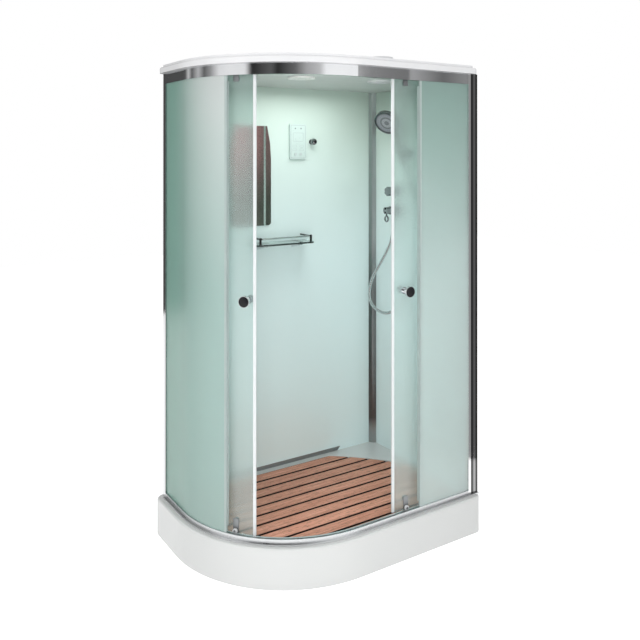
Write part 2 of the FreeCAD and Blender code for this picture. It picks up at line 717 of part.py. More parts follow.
def tray_frame():
    """Square tubes under the basin: two along X, and three between them."""
    top = "floor_z - acrylic - tube"

    def tube(x, y, length, width, along_x):
        outer = box(x, y, top, length, width, "tube")
        if along_x:
            bore = box(x, f"{y} + tube_wall", f"{top} + tube_wall", length,
                       "tube - 2 * tube_wall", "tube - 2 * tube_wall")
        else:
            bore = box(f"{x} + tube_wall", y, f"{top} + tube_wall", "tube - 2 * tube_wall",
                       width, "tube - 2 * tube_wall")
        return cut(outer, bore)

    long_length = "frame_right - frame_left + 2 * frame_end"
    tubes = [tube("frame_left - frame_end", f"{y} - tube / 2", long_length, "tube", True)
             for y in ("frame_front", "frame_back")]
    tubes += [tube(f"{x} - tube / 2", "frame_front + tube / 2", "tube",
                   "frame_back - frame_front - tube", False)
              for x in ("frame_left", "frame_middle", "frame_right")]
    holes = [rod(x, y, top, "foot_rod + glass_play", "tube_wall") for x, y in foot_places()]
    piece("tray_frame", cut(fuse(*tubes), *holes))


def foot_places():
    return [(x, y) for y in ("frame_front", "frame_back")
            for x in ("frame_left", "frame_middle", "frame_right")]


def levelling_feet():
    """Each foot is a pad on a threaded rod, with a lock nut under the tube."""
    tube_z = "floor_z - acrylic - tube"
    feet = []
    for x, y in foot_places():
        foot = fuse(rod(x, y, "0", "foot_radius", "foot_thickness"),
                    rod(x, y, "0", "foot_rod", f"{tube_z} + foot_grip"))
        nut = doc.addObject("Part::Prism", "Nut")
        nut.Polygon = 6
        bind(nut, {"Circumradius": "nut_radius", "Height": "nut_thickness"})
        place(nut, x, y, f"{tube_z} - nut_thickness")
        feet.append(fuse(foot, nut))
    piece("levelling_feet", group(*feet))


def waste():
    seat = "floor_z"
    collar = fuse(
        rod("waste_x", "waste_y", seat, "waste_flange", "waste_flange_thickness"),
        rod("waste_x", "waste_y", f"{seat} - waste_reach", "waste_neck", "waste_reach"),
    )
    bore = rod("waste_x", "waste_y", f"{seat} - waste_reach", "waste_bore",
               "waste_reach + waste_flange_thickness")
    grid = [box("waste_x - waste_bore", f"waste_y + ({step}) - tube_wall", seat,
                "2 * waste_bore", "2 * tube_wall", "waste_flange_thickness")
            for step in ("-waste_bore / 2", "0", "waste_bore / 2")]
    piece("waste_flange", fuse(cut(collar, bore), *grid))
    cup_top = "floor_z - waste_reach"
    cup_z = f"{cup_top} - trap_height"
    spigot_z = f"{cup_top} - spigot_drop - spigot_radius"
    spigot_end = "trap_radius + spigot_shoulder + spigot_length"
    cup = fuse(
        rod("waste_x", "waste_y", cup_z, "trap_radius", "trap_height"),
        rod("waste_x", "waste_y", spigot_z, "spigot_radius + trap_wall",
            "trap_radius + spigot_shoulder", "+y"),
        rod("waste_x", "waste_y", spigot_z, "spigot_radius", spigot_end, "+y"),
    )
    hollow = fuse(
        rod("waste_x", "waste_y", f"{cup_z} + trap_wall", "trap_radius - trap_wall",
            "trap_height - 2 * trap_wall"),
        rod("waste_x", "waste_y", f"{cup_top} - trap_wall", "waste_bore", "trap_wall"),
        rod("waste_x", "waste_y", spigot_z, "spigot_radius - trap_wall", spigot_end, "+y"),
    )
    piece("waste_trap", cut(cup, hollow))


def duckboard():
    body = new_body("DuckboardPlan")
    plan = new_sketch(body, height="floor_z")
    basin_plan(plan, "-board_gap")
    pad(body, plan, "basin_depth")
    slat_z = "tray_height - slat_drop - slat_thickness"
    count = int(mm("tray_depth - basin_back - basin_rim") / mm("slat_pitch")) + 1
    last = "basin_top - board_gap - slat_pitch + slat_gap"
    slats = [box("-right_edge", f"{last} - {n} * slat_pitch", slat_z, "tray_length",
                 "slat_pitch - slat_gap", "slat_thickness") for n in range(count)]
    boards = doc.addObject("Part::Common", "Slats")
    boards.Base = group(*slats)
    boards.Tool = body
    piece("duckboard_slats", boards)
    narrow = new_body("BearerPlan")
    inner_plan = new_sketch(narrow, height="floor_z")
    basin_plan(inner_plan, "-bearer_inset")
    pad(narrow, inner_plan, "basin_depth")
    bars = [box(f"bearer_left + {n} * bearer_step", "-back_edge", "floor_z", "bearer_width",
                "tray_depth", f"{slat_z} - floor_z") for n in range(3)]
    bearers = doc.addObject("Part::Common", "Bearers")
    bearers.Base = group(*bars)
    bearers.Tool = narrow
    piece("duckboard_bearers", bearers)


# ---------------------------------------------------------------- rails, columns, walls


def rail_solid(name, base_z, height, ledge_z, groove_z, groove_depth):
    """A rail: its outer bar with a glass groove, and the ledge inside that the wheels run on.
    Behind the right column the ledge goes on to the side wall."""
    body = new_body(name)
    bar = new_sketch(body, height=base_z)
    band(bar, "rail_inset", "rail_inset + rail_depth", "column_y", "column_x")
    pad(body, bar, height)
    ledge = new_sketch(body, height=ledge_z)
    band(ledge, "rail_inset + rail_depth", "rail_inset + rail_depth + ledge", "column_y", "wall_x")
    pad(body, ledge, "ledge_thickness")
    groove = new_sketch(body, height=groove_z)
    band(groove, "glass_inset - glass_play", "glass_inset + glass + glass_play", "column_y",
         "column_x")
    pocket(body, groove, groove_depth, upward=True)
    return body


def rails():
    bottom = rail_solid("BottomRail", "tray_height", "bottom_rail_height",
                        "tray_height + bottom_ledge_rise", "rail_base - groove_depth",
                        "groove_depth")
    # A low sealing strip lies outside the rail and runs on in front of the right column.
    strip = new_sketch(bottom, height="tray_height")
    band(strip, "rail_inset - sill_width", "rail_inset", "column_y",
         "right_edge - wall_inset + column_wrap")
    pad(bottom, strip, "sill")
    piece("bottom_rail", bottom)
    piece("top_rail", rail_solid("TopRail", "top_rail_z", "top_rail_height",
                                 "top_rail_z + top_ledge_rise", "top_rail_z",
                                 "top_groove_depth"))


def columns():
    right = new_body("RightColumn")
    plan = new_sketch(right, height="tray_height")
    outside = "right_edge - wall_inset + column_wrap"
    polygon(plan, [
        ("column_x", "front_y"),
        (outside, "front_y"),
        (outside, "front_y + column_depth + column_leg"),
        ("right_edge - wall_inset", "front_y + column_depth + column_leg"),
        ("right_edge - wall_inset", "front_y + column_depth"),
        ("column_x", "front_y + column_depth"),
    ])
    pad(right, plan, "eaves - tray_height")
    slot = new_sketch(right, height="tray_height")
    rectangle(slot, "column_x", "glass_inset - glass_play - back_edge",
              "column_x + groove_depth", "glass_inset + glass + glass_play - back_edge")
    pocket(right, slot, "eaves - tray_height", upward=True)
    piece("wall_column_right", right)

    left = new_body("LeftColumn")
    plan = new_sketch(left, height="tray_height")
    rectangle(plan, "rail_inset - right_edge", "column_y",
              "rail_inset + column_depth - right_edge", "back_edge - wall_inset")
    pad(left, plan, "eaves - tray_height")
    slot = new_sketch(left, height="tray_height")
    rectangle(slot, "glass_inset - glass_play - right_edge", "column_y",
              "glass_inset + glass + glass_play - right_edge", "column_y + groove_depth")
    pocket(left, slot, "eaves - tray_height", upward=True)
    piece("wall_column_left", left)

    corner = new_body("CornerTrim")
    plan = new_sketch(corner, height="tray_height")
    bulge = "wall_x - trim / 2 - trim_bulge", "wall_y - trim / 2 - trim_bulge"
    polygon(plan, [
        ("wall_x", "wall_y"),
        ("wall_x - trim", "wall_y"),
        bulge,
        ("wall_x", "wall_y - trim"),
    ])
    pad(corner, plan, "ceiling_z - tray_height")
    crown_x, crown_y = mm(bulge[0]), mm(bulge[1])
    fillet(corner, "trim / 2",
           lambda edge: upright(edge) and abs(edge.Vertexes[0].X - crown_x) < 0.1
           and abs(edge.Vertexes[0].Y - crown_y) < 0.1)
    piece("corner_column", corner)


def walls():
    back = new_body("BackWall")
    face = new_sketch(back, "XZ_Plane", "-wall_y")
    rectangle(face, "rail_inset + column_depth - right_edge", "tray_height",
              "right_edge - wall_inset", "eaves")
    pad(back, face, "wall", reverse=True)
    piece("back_wall_panel", back)

    side = new_body("SideWall")
    face = new_sketch(side, "YZ_Plane", "wall_x")
    rectangle(face, "front_y + column_depth", "tray_height", "wall_y", "eaves")
    pad(side, face, "wall")
    holes = new_sketch(side, "YZ_Plane", "wall_x")
    for z in ("mixer_z", "diverter_z"):
        circle_at(holes, "tap_y", z, "tap_bore")
    circle_at(holes, "steam_outlet_y", "steam_z", "steam_bore")
    pocket(side, holes, "wall", upward=True)
    piece("side_wall_panel", side)

    strip = new_body("BaseTrim")
    face = new_sketch(strip, "XZ_Plane", "-wall_y")
    left = "rail_inset + column_depth - right_edge"
    polygon(face, [
        (left, "tray_height"),
        ("wall_x - base_trim_gap - base_trim_height", "tray_height"),
        ("wall_x - base_trim_gap", "tray_height + base_trim_height"),
        (left, "tray_height + base_trim_height"),
    ])
    pad(strip, face, "base_trim_thickness")
    piece("wall_base_trim", strip)


# ---------------------------------------------------------------- fixed glass


def fixed_glass():
    low = "rail_base - groove_depth"
    tall = "top_rail_z + top_groove_depth - glass_play - rail_base + groove_depth"
    inner = "glass_inset + glass"
    left = fuse(
        sector("glass_inset", inner, "0", "fixed_angle", low, tall),
        box("glass_inset - right_edge", "arc_y", low, "glass",
            "column_y + groove_depth - glass_play - arc_y", tall),
    )
    piece("fixed_glass_left", left)
    piece("fixed_glass_right", box(
        "fixed_right_x", "glass_inset - back_edge", low,
        "column_x + groove_depth - glass_play - fixed_right_x", "glass", tall))

    # Each free edge has a channel seal with a fin that reaches in towards the door.
    base, height = "rail_base + seal_play", "top_rail_z - rail_base - 2 * seal_play"
    lip = "(seal + seal_play)"
    width = "(seal_width * 180 / (pi * tray_radius))"
    end = "(seal_play * 180 / (pi * tray_radius))"
    wall_angle = "(seal * 180 / (pi * tray_radius))"
    channel = cut(
        sector(f"glass_inset - {lip}", f"{inner} + {lip}", f"fixed_angle - {width}",
               f"{width} + {end} + {wall_angle}", base, height),
        sector("glass_inset - seal_play", f"{inner} + seal_play", f"fixed_angle - {width}",
               f"{width} + {end}", base, height),
    )
    fin = sector(f"{inner} + {lip}", f"{inner} + {lip} + fin", f"fixed_angle + {end}", wall_angle,
                 f"{base} + fin_clear", f"{height} - 2 * fin_clear")
    curved = fuse(channel, fin)
    y = "glass_inset - back_edge"
    channel = cut(
        box("fixed_right_x - seal_play - seal", f"{y} - {lip}", base, f"seal_width + {lip}",
            f"glass + 2 * {lip}", height),
        box("fixed_right_x - seal_play", f"{y} - seal_play", base, "seal_width + seal_play",
            "glass + 2 * seal_play", height),
    )
    fin = box("fixed_right_x - seal_play - seal", f"{y} + glass + {lip}", f"{base} + fin_clear",
              "seal", "fin", f"{height} - 2 * fin_clear")
    piece("fixed_glass_seals", group(curved, fuse(channel, fin)))


# ---------------------------------------------------------------- doors

DOOR_LOW = "(tray_height + door_bottom)"
DOOR_HIGH = "(eaves - door_top)"
LEFT_TAIL = "(left_lead - left_span)"
DOOR_IN = "(door_inset + glass)"


def glass_hole(z):
    """A bolt hole through the door glass at angle 0."""
    return group(rod("-(door_radius + glass)", "0", z, "bolt_hole", "3 * glass", "+x"))


def bracket_bolts():
    return ("bottom_axle + bracket_bolt", "top_axle - bracket_bolt")


def door_glass(label, pane, wheels, knob):
    holes = [on_glass(glass_hole(z), angle, x) for angle, x in wheels for z in bracket_bolts()]
    holes.append(on_glass(glass_hole("knob_height"), *knob))
    piece(label, cut(pane, *holes))


def door_knobs(label, knob):
    """The knob outside, the smaller one inside, and the bolt that joins them, at angle 0."""
    out = "-(door_radius + knob_reach)"
    base_end = "-(door_radius + seal_play)"
    inside = "-(door_radius - glass - seal_play)"
    parts = fuse(
        rod(out, "0", "knob_height", "knob_radius", "knob_thickness", "+x"),
        rod(out, "0", "knob_height", "knob_neck", "knob_reach - seal_play", "+x"),
        rod(f"{base_end} - knob_base_thickness", "0", "knob_height", "knob_base",
            "knob_base_thickness", "+x"),
        rod(base_end, "0", "knob_height", "bolt", "glass + 3 * seal_play", "+x"),
        rod(inside, "0", "knob_height", "knob_neck", "inner_knob_reach", "+x"),
        rod(f"{inside} + inner_knob_reach / 2", "0", "knob_height", "inner_knob_radius",
            "inner_knob_reach / 2", "+x"),
    )
    piece(label, on_glass(parts, *knob))


def roller_bracket(axle_z, bolt_z):
    """A plate on the glass's outer face that carries an axle, at angle 0."""
    plate_in = "-(door_radius + bracket_play)"
    plate_out = "-(door_radius + bracket_play + bracket_thickness)"
    head = "-(tray_radius - wheel_inset + 2 * seal_play)"
    low = axle_z if mm(axle_z) < mm(bolt_z) else bolt_z
    return fuse(
        box(plate_out, "-bracket_width / 2", f"{low} - bracket_edge", "bracket_thickness",
            "bracket_width", "bracket_bolt + 2 * bracket_edge"),
        rod(head, "0", axle_z, "axle", f"{plate_in} - {head}", "+x"),
        rod(f"{head} - axle_head_thickness", "0", axle_z, "axle_head", "axle_head_thickness", "+x"),
        rod(plate_out, "0", bolt_z, "bolt",
            "bracket_thickness + 2 * bracket_play + glass + bracket_cap_thickness", "+x"),
        rod("-(door_radius - glass - bracket_play)", "0", bolt_z, "bracket_cap",
            "bracket_cap_thickness", "+x"),
    )


def wheel(label, radius, axle_z, angle, x):
    outer = "-(tray_radius - wheel_inset)"
    disc = cut(rod(outer, "0", axle_z, radius, "wheel_width", "+x"),
               rod(outer, "0", axle_z, "wheel_bore", "wheel_width", "+x"))
    piece(label, on_glass(disc, angle, x))


def rollers(side, wheels):
    bottom_bolt, top_bolt = bracket_bolts()
    brackets = []
    for angle, x in wheels:
        brackets.append(on_glass(roller_bracket("bottom_axle", bottom_bolt), angle, x))
        brackets.append(on_glass(roller_bracket("top_axle", top_bolt), angle, x))
    piece(f"{side}_roller_brackets", group(*brackets))
    for place_name, (angle, x) in zip(("lead", "tail"), wheels):
        wheel(f"{side}_{place_name}_wheel_bottom", "bottom_wheel", "bottom_axle", angle, x)
        wheel(f"{side}_{place_name}_wheel_top", "top_wheel", "top_axle", angle, x)


def curved_seal(edge, inward, x="arc_x"):
    """A channel seal on an upright edge of curved door glass; inward is the glass's direction."""
    degree = "* 180 / (pi * door_radius)"
    cover, play, skin = f"(seal_width {degree})", f"(seal_play {degree})", f"(seal {degree})"
    lip = "(seal + seal_play)"
    start = f"{edge} - {play} - {skin}" if inward > 0 else f"{edge} - {cover}"
    hollow = f"{edge} - {play}" if inward > 0 else f"{edge} - {cover}"
    return cut(
        sector(f"door_inset - {lip}", f"{DOOR_IN} + {lip}", start, f"{cover} + {play} + {skin}",
               DOOR_LOW, f"{DOOR_HIGH} - {DOOR_LOW}", x),
        sector("door_inset - seal_play", f"{DOOR_IN} + seal_play", hollow, f"{cover} + {play}",
               DOOR_LOW, f"{DOOR_HIGH} - {DOOR_LOW}", x),
    )


def left_door():
    wheels = [("left_lead_wheel", "arc_x"), ("left_tail_wheel", "arc_x")]
    knob = ("left_knob_angle", "arc_x")
    # The glass stops short of the door's edges by the seals' walls.
    degree = "* 180 / (pi * door_radius)"
    margin = f"((seal + seal_play) {degree})"
    start, end = f"({LEFT_TAIL} + {margin})", f"(left_lead - {margin})"
    pane = sector("door_inset", DOOR_IN, start, f"{end} - {start}", DOOR_LOW,
                  f"{DOOR_HIGH} - {DOOR_LOW}")
    door_glass("left_door_glass", pane, wheels, knob)
    tail = curved_seal(start, 1)
    fin = sector("door_inset - seal - seal_play - fin", "door_inset - seal - seal_play",
                 LEFT_TAIL, f"seal {degree}", f"{DOOR_LOW} + 2 * fin_clear",
                 f"{DOOR_HIGH} - {DOOR_LOW} - 4 * fin_clear")
    piece("left_door_seals", group(curved_seal(end, -1), fuse(tail, fin)))
    door_knobs("left_door_knobs", knob)
    rollers("left", wheels)


def right_door():
    wheels = [("right_lead_wheel", "bend_x"), ("90", "tail_wheel_x")]
    knob = ("right_knob_angle", "bend_x")
    degree = "* 180 / (pi * door_radius)"
    margin = "(seal + seal_play)"
    start = f"(seam_angle + {margin} {degree})"
    y = "door_inset - back_edge"
    height = f"{DOOR_HIGH} - {DOOR_LOW}"
    bend = sector("door_inset", DOOR_IN, start, f"90 - {start}", DOOR_LOW, height, "bend_x")
    flat = box("bend_x", y, DOOR_LOW, f"tail_x - {margin} - bend_x", "glass",
               height)
    door_glass("right_door_glass", fuse(bend, flat), wheels, knob)
    tail_x = "tail_x - seal_width"
    channel = cut(
        box(tail_x, f"{y} - {margin}", DOOR_LOW, "seal_width", f"glass + 2 * {margin}", height),
        box(tail_x, f"{y} - seal_play", DOOR_LOW, "seal_width - seal", "glass + 2 * seal_play",
            height),
    )
    fin = box("tail_x - seal", f"{y} - {margin} - fin", f"{DOOR_LOW} + 2 * fin_clear",
              "seal", "fin", f"{height} - 4 * fin_clear")
    piece("right_door_seals", group(curved_seal(start, 1, "bend_x"), fuse(channel, fin)))
    door_knobs("right_door_knobs", knob)
    rollers("right", wheels)


# ---------------------------------------------------------------- roof, ceiling and fan


def roof_plan(sketch, inset, corner):
    outline(sketch, inset, f"right_edge - ({inset})", f"back_edge - ({inset})", corner)


def crown(body, inset, low, high, subtract=False):
    """The roof's sloping crown, or the hollow under it."""
    lower = new_sketch(body, height=low)
    roof_plan(lower, inset, "roof_corner")
    upper = new_sketch(body, height=high)
    roof_plan(upper, f"{inset} + roof_slope", "roof_corner")
    kind = "PartDesign::SubtractiveLoft" if subtract else "PartDesign::AdditiveLoft"
    loft = body.newObject(kind, "Crown")
    loft.Profile = lower
    loft.Sections = [upper]
    loft.Ruled = True
    body.Tip = loft


def roof_shell():
    outer = new_body("RoofOuter")
    rim = new_sketch(outer, height="eaves")
    roof_plan(rim, "roof_inset", "roof_corner")
    pad(outer, rim, "roof_rim")
    rim_top = mm("eaves + roof_rim")
    fillet(outer, "roof_edge", lambda edge: at_height(edge, rim_top))
    shoulder_z = "eaves + roof_rim + roof_shoulder"
    shoulder = new_sketch(outer, height="eaves + roof_rim")
    roof_plan(shoulder, "roof_inset + roof_step", "roof_corner")
    pad(outer, shoulder, "roof_shoulder")
    crown(outer, "roof_inset + roof_step", shoulder_z, f"{shoulder_z} + roof_rise")
    inner = new_body("RoofHollow")
    hall = new_sketch(inner, height="eaves + acrylic")
    roof_plan(hall, "roof_inset + roof_step + acrylic", "roof_corner")
    pad(inner, hall, "roof_rim + roof_shoulder - 2 * acrylic")
    crown(inner, "roof_inset + roof_step + acrylic", f"{shoulder_z} - acrylic",
          f"{shoulder_z} + roof_rise - acrylic")
    mouth = new_body("RoofMouth")
    hole = new_sketch(mouth, height="eaves")
    outline(hole, "roof_inset + roof_flange", "wall_x - ceiling_lap", "wall_y - ceiling_lap",
            "roof_corner")
    pad(mouth, hole, "acrylic")
    duct = rod("fan_x", "fan_y", "eaves", "fan_radius + fan_play", "2 * roof_rise + roof_rim")
    piece("roof_shell", cut(outer, inner, mouth, duct))


def ceiling_panel():
    body = new_body("Ceiling")
    plan = new_sketch(body, height="ceiling_z")
    outline(plan, "ceiling_inset", "wall_x - ceiling_play", "wall_y - ceiling_play", "roof_corner")
    pad(body, plan, "ceiling_drop")
    hollow = new_sketch(body, height="eaves")
    outline(hollow, "ceiling_inset + ceiling_wall", "wall_x - ceiling_play - ceiling_wall",
            "wall_y - ceiling_play - ceiling_wall", "roof_corner - ceiling_wall")
    pocket(body, hollow, "ceiling_drop - ceiling_wall")
    hole = new_sketch(body, height="ceiling_z")
    circle_at(hole, "fan_x", "fan_y", "fan_radius + fan_play")
    pocket(body, hole, "ceiling_wall", upward=True)
    piece("ceiling_panel", body)
    piece("ceiling_lamp", rod("lamp_x", "lamp_y", "ceiling_z", "lamp_radius", "lamp_thickness",
                              "-z"))


def fan():
    low = "ceiling_z - fan_flange_thickness"
    bore = "fan_radius - fan_wall"
    duct = ring("fan_x", "fan_y", low, "fan_radius", bore,
                f"roof_top + fan_collar_thickness + fan_spigot - ({low})")
    flange = ring("fan_x", "fan_y", low, "fan_flange", bore, "fan_flange_thickness")
    collar = ring("fan_x", "fan_y", "roof_top", "fan_collar", bore, "fan_collar_thickness")
    bars = [box("fan_x - fan_radius + fan_wall / 2", f"fan_y + ({step}) - fan_bar / 2", low,
                "2 * fan_radius - fan_wall", "fan_bar", "fan_flange_thickness")
            for step in ("0", "4 * fan_bar", "-4 * fan_bar")]
    spokes = []
    for turn in (0, 120, 240):
        spoke = box("0", "-fan_bar / 2", "0", "fan_radius - fan_wall / 2", "fan_bar",
                    "motor_height / 2")
        arm = group(spoke)
        place(arm, "fan_x", "fan_y", "motor_base + motor_height / 4")
        arm.Placement.Rotation = Rotation(Vector(0, 0, 1), turn)
        spokes.append(arm)
    motor = rod("fan_x", "fan_y", "motor_base", "motor_radius", "motor_height")
    shaft = rod("fan_x", "fan_y", "motor_base - rotor_gap - rotor_height", "motor_shaft",
                "rotor_gap + rotor_height")
    piece("fan_housing", fuse(duct, flange, collar, *bars, *spokes, motor, shaft))

    hub_z = "motor_base - rotor_gap - rotor_height"
    blades = []
    for n in range(4):
        blade = box("0.75 * rotor_hub", "-blade_width / 2", "-blade_thickness / 2",
                    "blade_reach - 0.75 * rotor_hub", "blade_width", "blade_thickness")
        tilted = group(blade)
        tilted.Placement.Rotation = Rotation(Vector(1, 0, 0), mm("blade_tilt"))
        arm = group(tilted)
        place(arm, "fan_x", "fan_y", f"{hub_z} + rotor_height / 2")
        arm.Placement.Rotation = Rotation(Vector(0, 0, 1), 90 * n)
        blades.append(arm)
    hub = ring("fan_x", "fan_y", hub_z, "rotor_hub", "motor_shaft + shaft_play", "rotor_height")
    piece("fan_rotor", fuse(hub, *blades))


# ---------------------------------------------------------------- back wall fittings


def mirror():
    body = new_body("Mirror")
    face = new_sketch(body, "XZ_Plane", "-wall_y")
    half, top = "mirror_width / 2", "mirror_bottom + mirror_height"
    bend = f"{top} - mirror_taper"
    polygon(face, [
        (f"mirror_x - {half}", "mirror_bottom"),
        (f"mirror_x + {half}", "mirror_bottom"),
        (f"mirror_x + {half}", bend),
        (f"mirror_x + {half} - mirror_waist / 4", f"{top} - mirror_taper / 2"),
        (f"mirror_x + {half} - mirror_waist", top),
        (f"mirror_x - {half} + mirror_waist", top),
        (f"mirror_x - {half} + mirror_waist / 4", f"{top} - mirror_taper / 2"),
        (f"mirror_x - {half}", bend),
    ])
    pad(body, face, "mirror_thickness")
    low = mm("mirror_bottom")

    def lower_corner(edge):
        points = [vertex.Point for vertex in edge.Vertexes]
        return all(abs(point.z - low) < 0.01 for point in points) and abs(
            points[0].x - points[-1].x) < 0.01

    fillet(body, "mirror_round", lower_corner)
    piece("mirror", body)


def shelf():
    plate_z = "shelf_height - shelf_thickness"
    left = "shelf_x - shelf_length / 2"
    plate = new_body("ShelfPlate")
    plan = new_sketch(plate, height=plate_z)
    rectangle(plan, left, "wall_y - shelf_depth", f"{left} + shelf_length", "wall_y")
    pad(plate, plan, "shelf_thickness")
    front = mm("wall_y - shelf_depth")
    fillet(plate, "shelf_round",
           lambda edge: upright(edge) and abs(edge.Vertexes[0].Y - front) < 0.01)
    piece("shelf_plate", plate)

    x0, x1 = f"{left} + gallery_inset", f"{left} + shelf_length - gallery_inset"
    y = "wall_y - shelf_depth + gallery_front"
    z = "shelf_height + gallery_height - gallery_rod"
    bars = [rod(x0, y, z, "gallery_rod", "shelf_length - 2 * gallery_inset", "+x")]
    for x in (x0, x1):
        bars.append(rod(x, y, "shelf_height", "gallery_post", "gallery_height + gallery_rod / 2"))
        bars.append(rod(x, y, z, "gallery_rod", "shelf_depth - gallery_front", "+y"))
    piece("shelf_rail", fuse(*bars))

    supports = []
    for x in (f"{left} + shelf_bracket_inset",
              f"{left} + shelf_length - shelf_bracket_inset - shelf_bracket_width"):
        wedge = doc.addObject("Part::Wedge", "Bracket")
        bind(wedge, {
            "Xmin": "0", "Xmax": "shelf_bracket_width", "X2min": "0",
            "X2max": "shelf_bracket_width", "Ymin": "0", "Ymax": "shelf_bracket_depth",
            "Zmin": "shelf_bracket_height - shelf_bracket_tip", "Zmax": "shelf_bracket_height",
            "Z2min": "0", "Z2max": "shelf_bracket_height",
        })
        place(wedge, x, "wall_y - shelf_bracket_depth", f"{plate_z} - shelf_bracket_height")
        supports.append(wedge)
    piece("shelf_brackets", group(*supports))


def control_panel():
    body = new_body("Panel")
    face = new_sketch(body, "XZ_Plane", "-wall_y")
    low = "panel_z - panel_height / 2"
    rectangle(face, "panel_x - panel_width / 2", low, "panel_x + panel_width / 2",
              "panel_z + panel_height / 2")
    pad(body, face, "panel_thickness")
    fillet(body, "panel_corner", lambda edge: len(edge.Vertexes) == 2
           and abs(edge.Vertexes[0].Y - edge.Vertexes[1].Y) > 1)
    button_z = f"{low} + button_rise"
    bores = new_sketch(body, "XZ_Plane", "panel_thickness - wall_y")
    spots = ("panel_x - button_step / 2", "panel_x + button_step / 2")
    for x in spots:
        circle_at(bores, x, button_z, "button_radius + button_play")
    pocket(body, bores, "button_depth + button_travel + button_play")
    piece("control_panel", body)
    for label, x in zip(("button_steam", "button_light"), spots):
        piece(label, rod(x, "wall_y - panel_thickness - button_proud", button_z, "button_radius",
                         "button_proud + button_depth", "+y"))


def robe_hook():
    ball = doc.addObject("Part::Sphere", "Ball")
    bind(ball, {"Radius": "hook_ball"})
    place(ball, "hook_x", "wall_y - hook_reach", "hook_z")
    piece("robe_hook", fuse(
        rod("hook_x", "wall_y", "hook_z", "hook_base", "hook_base_thickness", "-y"),
        rod("hook_x", "wall_y", "hook_z", "hook_neck", "hook_reach", "-y"),
        ball,
    ))


# ---------------------------------------------------------------- taps


def valve_body(z, front):
    """The wall plate, barrel and spindle of a tap, with its neck through the wall and the block
    behind it. The barrel ends at front."""
    behind = "wall_x + wall"
    return [
        rod("wall_x", "tap_y", z, "plate_radius", "plate_thickness", "-x"),
        rod("wall_x", "tap_y", z, "tap_barrel", f"wall_x - {front}", "-x"),
        rod(front, "tap_y", z, "spindle", "spindle_length", "-x"),
        rod("wall_x", "tap_y", z, "tap_neck", "wall", "+x"),
        box(behind, "tap_y - block_width / 2", f"{z} - block_drop", "block_depth", "block_width",
            "2 * block_drop"),
    ]


def mixer():
    front = "(wall_x - plate_thickness - mixer_barrel)"
    base = "mixer_z - block_drop"
    inlets = [rod("wall_x + wall + block_depth / 2", f"tap_y + ({step})", base, "inlet_radius",
                  "inlet_length", "-z") for step in ("-inlet_step / 2", "inlet_step / 2")]
    outlet = rod("wall_x - outlet_reach", "tap_y", "mixer_z", "outlet_radius", "outlet_drop", "-z")
    piece("mixer_body", fuse(*valve_body("mixer_z", front), *inlets, outlet))
    piece("hose_nut_lower", rod("wall_x - outlet_reach", "tap_y", "mixer_z - outlet_drop",
                                "nut_outer", "nut_length", "-z"))

    # The turning cap has a slot across its front, and the lever hangs in it on a pin.
    cap_x = f"{front} - tap_gap"
    pin_x = f"{cap_x} - hub_length + lever_radius"
    slot_width = "lever_width + 2 * fork_gap"
    cap = rod(cap_x, "tap_y", "mixer_z", "hub_radius", "hub_length", "-x")
    socket = rod(cap_x, "tap_y", "mixer_z", "spindle + spindle_play",
                 "spindle_length - tap_gap + spindle_play", "-x")
    slot = box(f"{cap_x} - hub_length", f"tap_y - ({slot_width}) / 2", "mixer_z - hub_radius",
               "2 * lever_radius + fork_gap", slot_width, "2 * hub_radius")
    pin = rod(pin_x, f"tap_y - ({slot_width}) / 2", "mixer_z", "lever_pin", slot_width, "+y")
    piece("mixer_cap", fuse(cut(cap, socket, slot), pin))

    eye = rod(pin_x, "tap_y - lever_width / 2", "mixer_z", "lever_radius", "lever_width", "+y")
    shank = rod(pin_x, "tap_y", "mixer_z", "lever_rod", "loop_drop - loop_radius", "-z")
    loop = doc.addObject("Part::Torus", "Loop")
    bind(loop, {"Radius1": "loop_radius", "Radius2": "lever_rod"})
    place(loop, pin_x, "tap_y", "mixer_z - loop_drop", "+x")
    bore = rod(pin_x, "tap_y - lever_width / 2", "mixer_z", "lever_pin + lever_play",
               "lever_width", "+y")
    piece("mixer_lever", cut(fuse(eye, shank, loop), bore))


def diverter():
    front = "(wall_x - plate_thickness - diverter_barrel)"
    riser = rod("wall_x + wall + block_depth / 2", "tap_y", "mixer_z + block_drop",
                "riser_radius", "diverter_z - mixer_z - 2 * block_drop")
    piece("diverter_body", fuse(*valve_body("diverter_z", front), riser))
    cap_x = f"{front} - tap_gap"
    grip = rod(cap_x, "tap_y", "diverter_z", "knob_grip", "knob_grip_length", "-x")
    socket = rod(cap_x, "tap_y", "diverter_z", "spindle + spindle_play",
                 "spindle_length - tap_gap + spindle_play", "-x")
    hollows = []
    for n in range(6):
        hollow = rod("0", "knob_grip + knob_lobe / 2", "0", "knob_lobe", "knob_grip_length", "-x")
        turned = group(hollow)
        place(turned, cap_x, "tap_y", "diverter_z")
        turned.Placement.Rotation = Rotation(Vector(1, 0, 0), 60 * n)
        hollows.append(turned)
    piece("diverter_knob", cut(grip, socket, *hollows))


# ---------------------------------------------------------------- hand shower and hose

# The handle leans: upwards it goes a little into the cabin and back towards the corner. The
# head's face looks into the cabin and down.
UP = Vector(-0.082, 0.336, 0.938).normalize()
FACE = Vector(-0.73, -0.353, -0.585).normalize()
HEAD = Vector(mm("wall_x - head_reach"), mm("wall_y - head_back"), mm("head_z"))
RIMWARD = (-UP - FACE * FACE.dot(-UP)).normalize()
NECK = HEAD + RIMWARD * mm("0.8 * head_radius") - FACE * mm("0.7 * head_thickness")


def leaning(thing, start, direction):
    """Points a thing that is drawn along +Z from the origin."""
    thing.Placement = Placement(start, Rotation(Vector(0, 0, 1), direction))
    return thing


def plain_rod(radius, length):
    bar = doc.addObject("Part::Cylinder", "Rod")
    bind(bar, {"Radius": radius, "Height": length})
    return bar


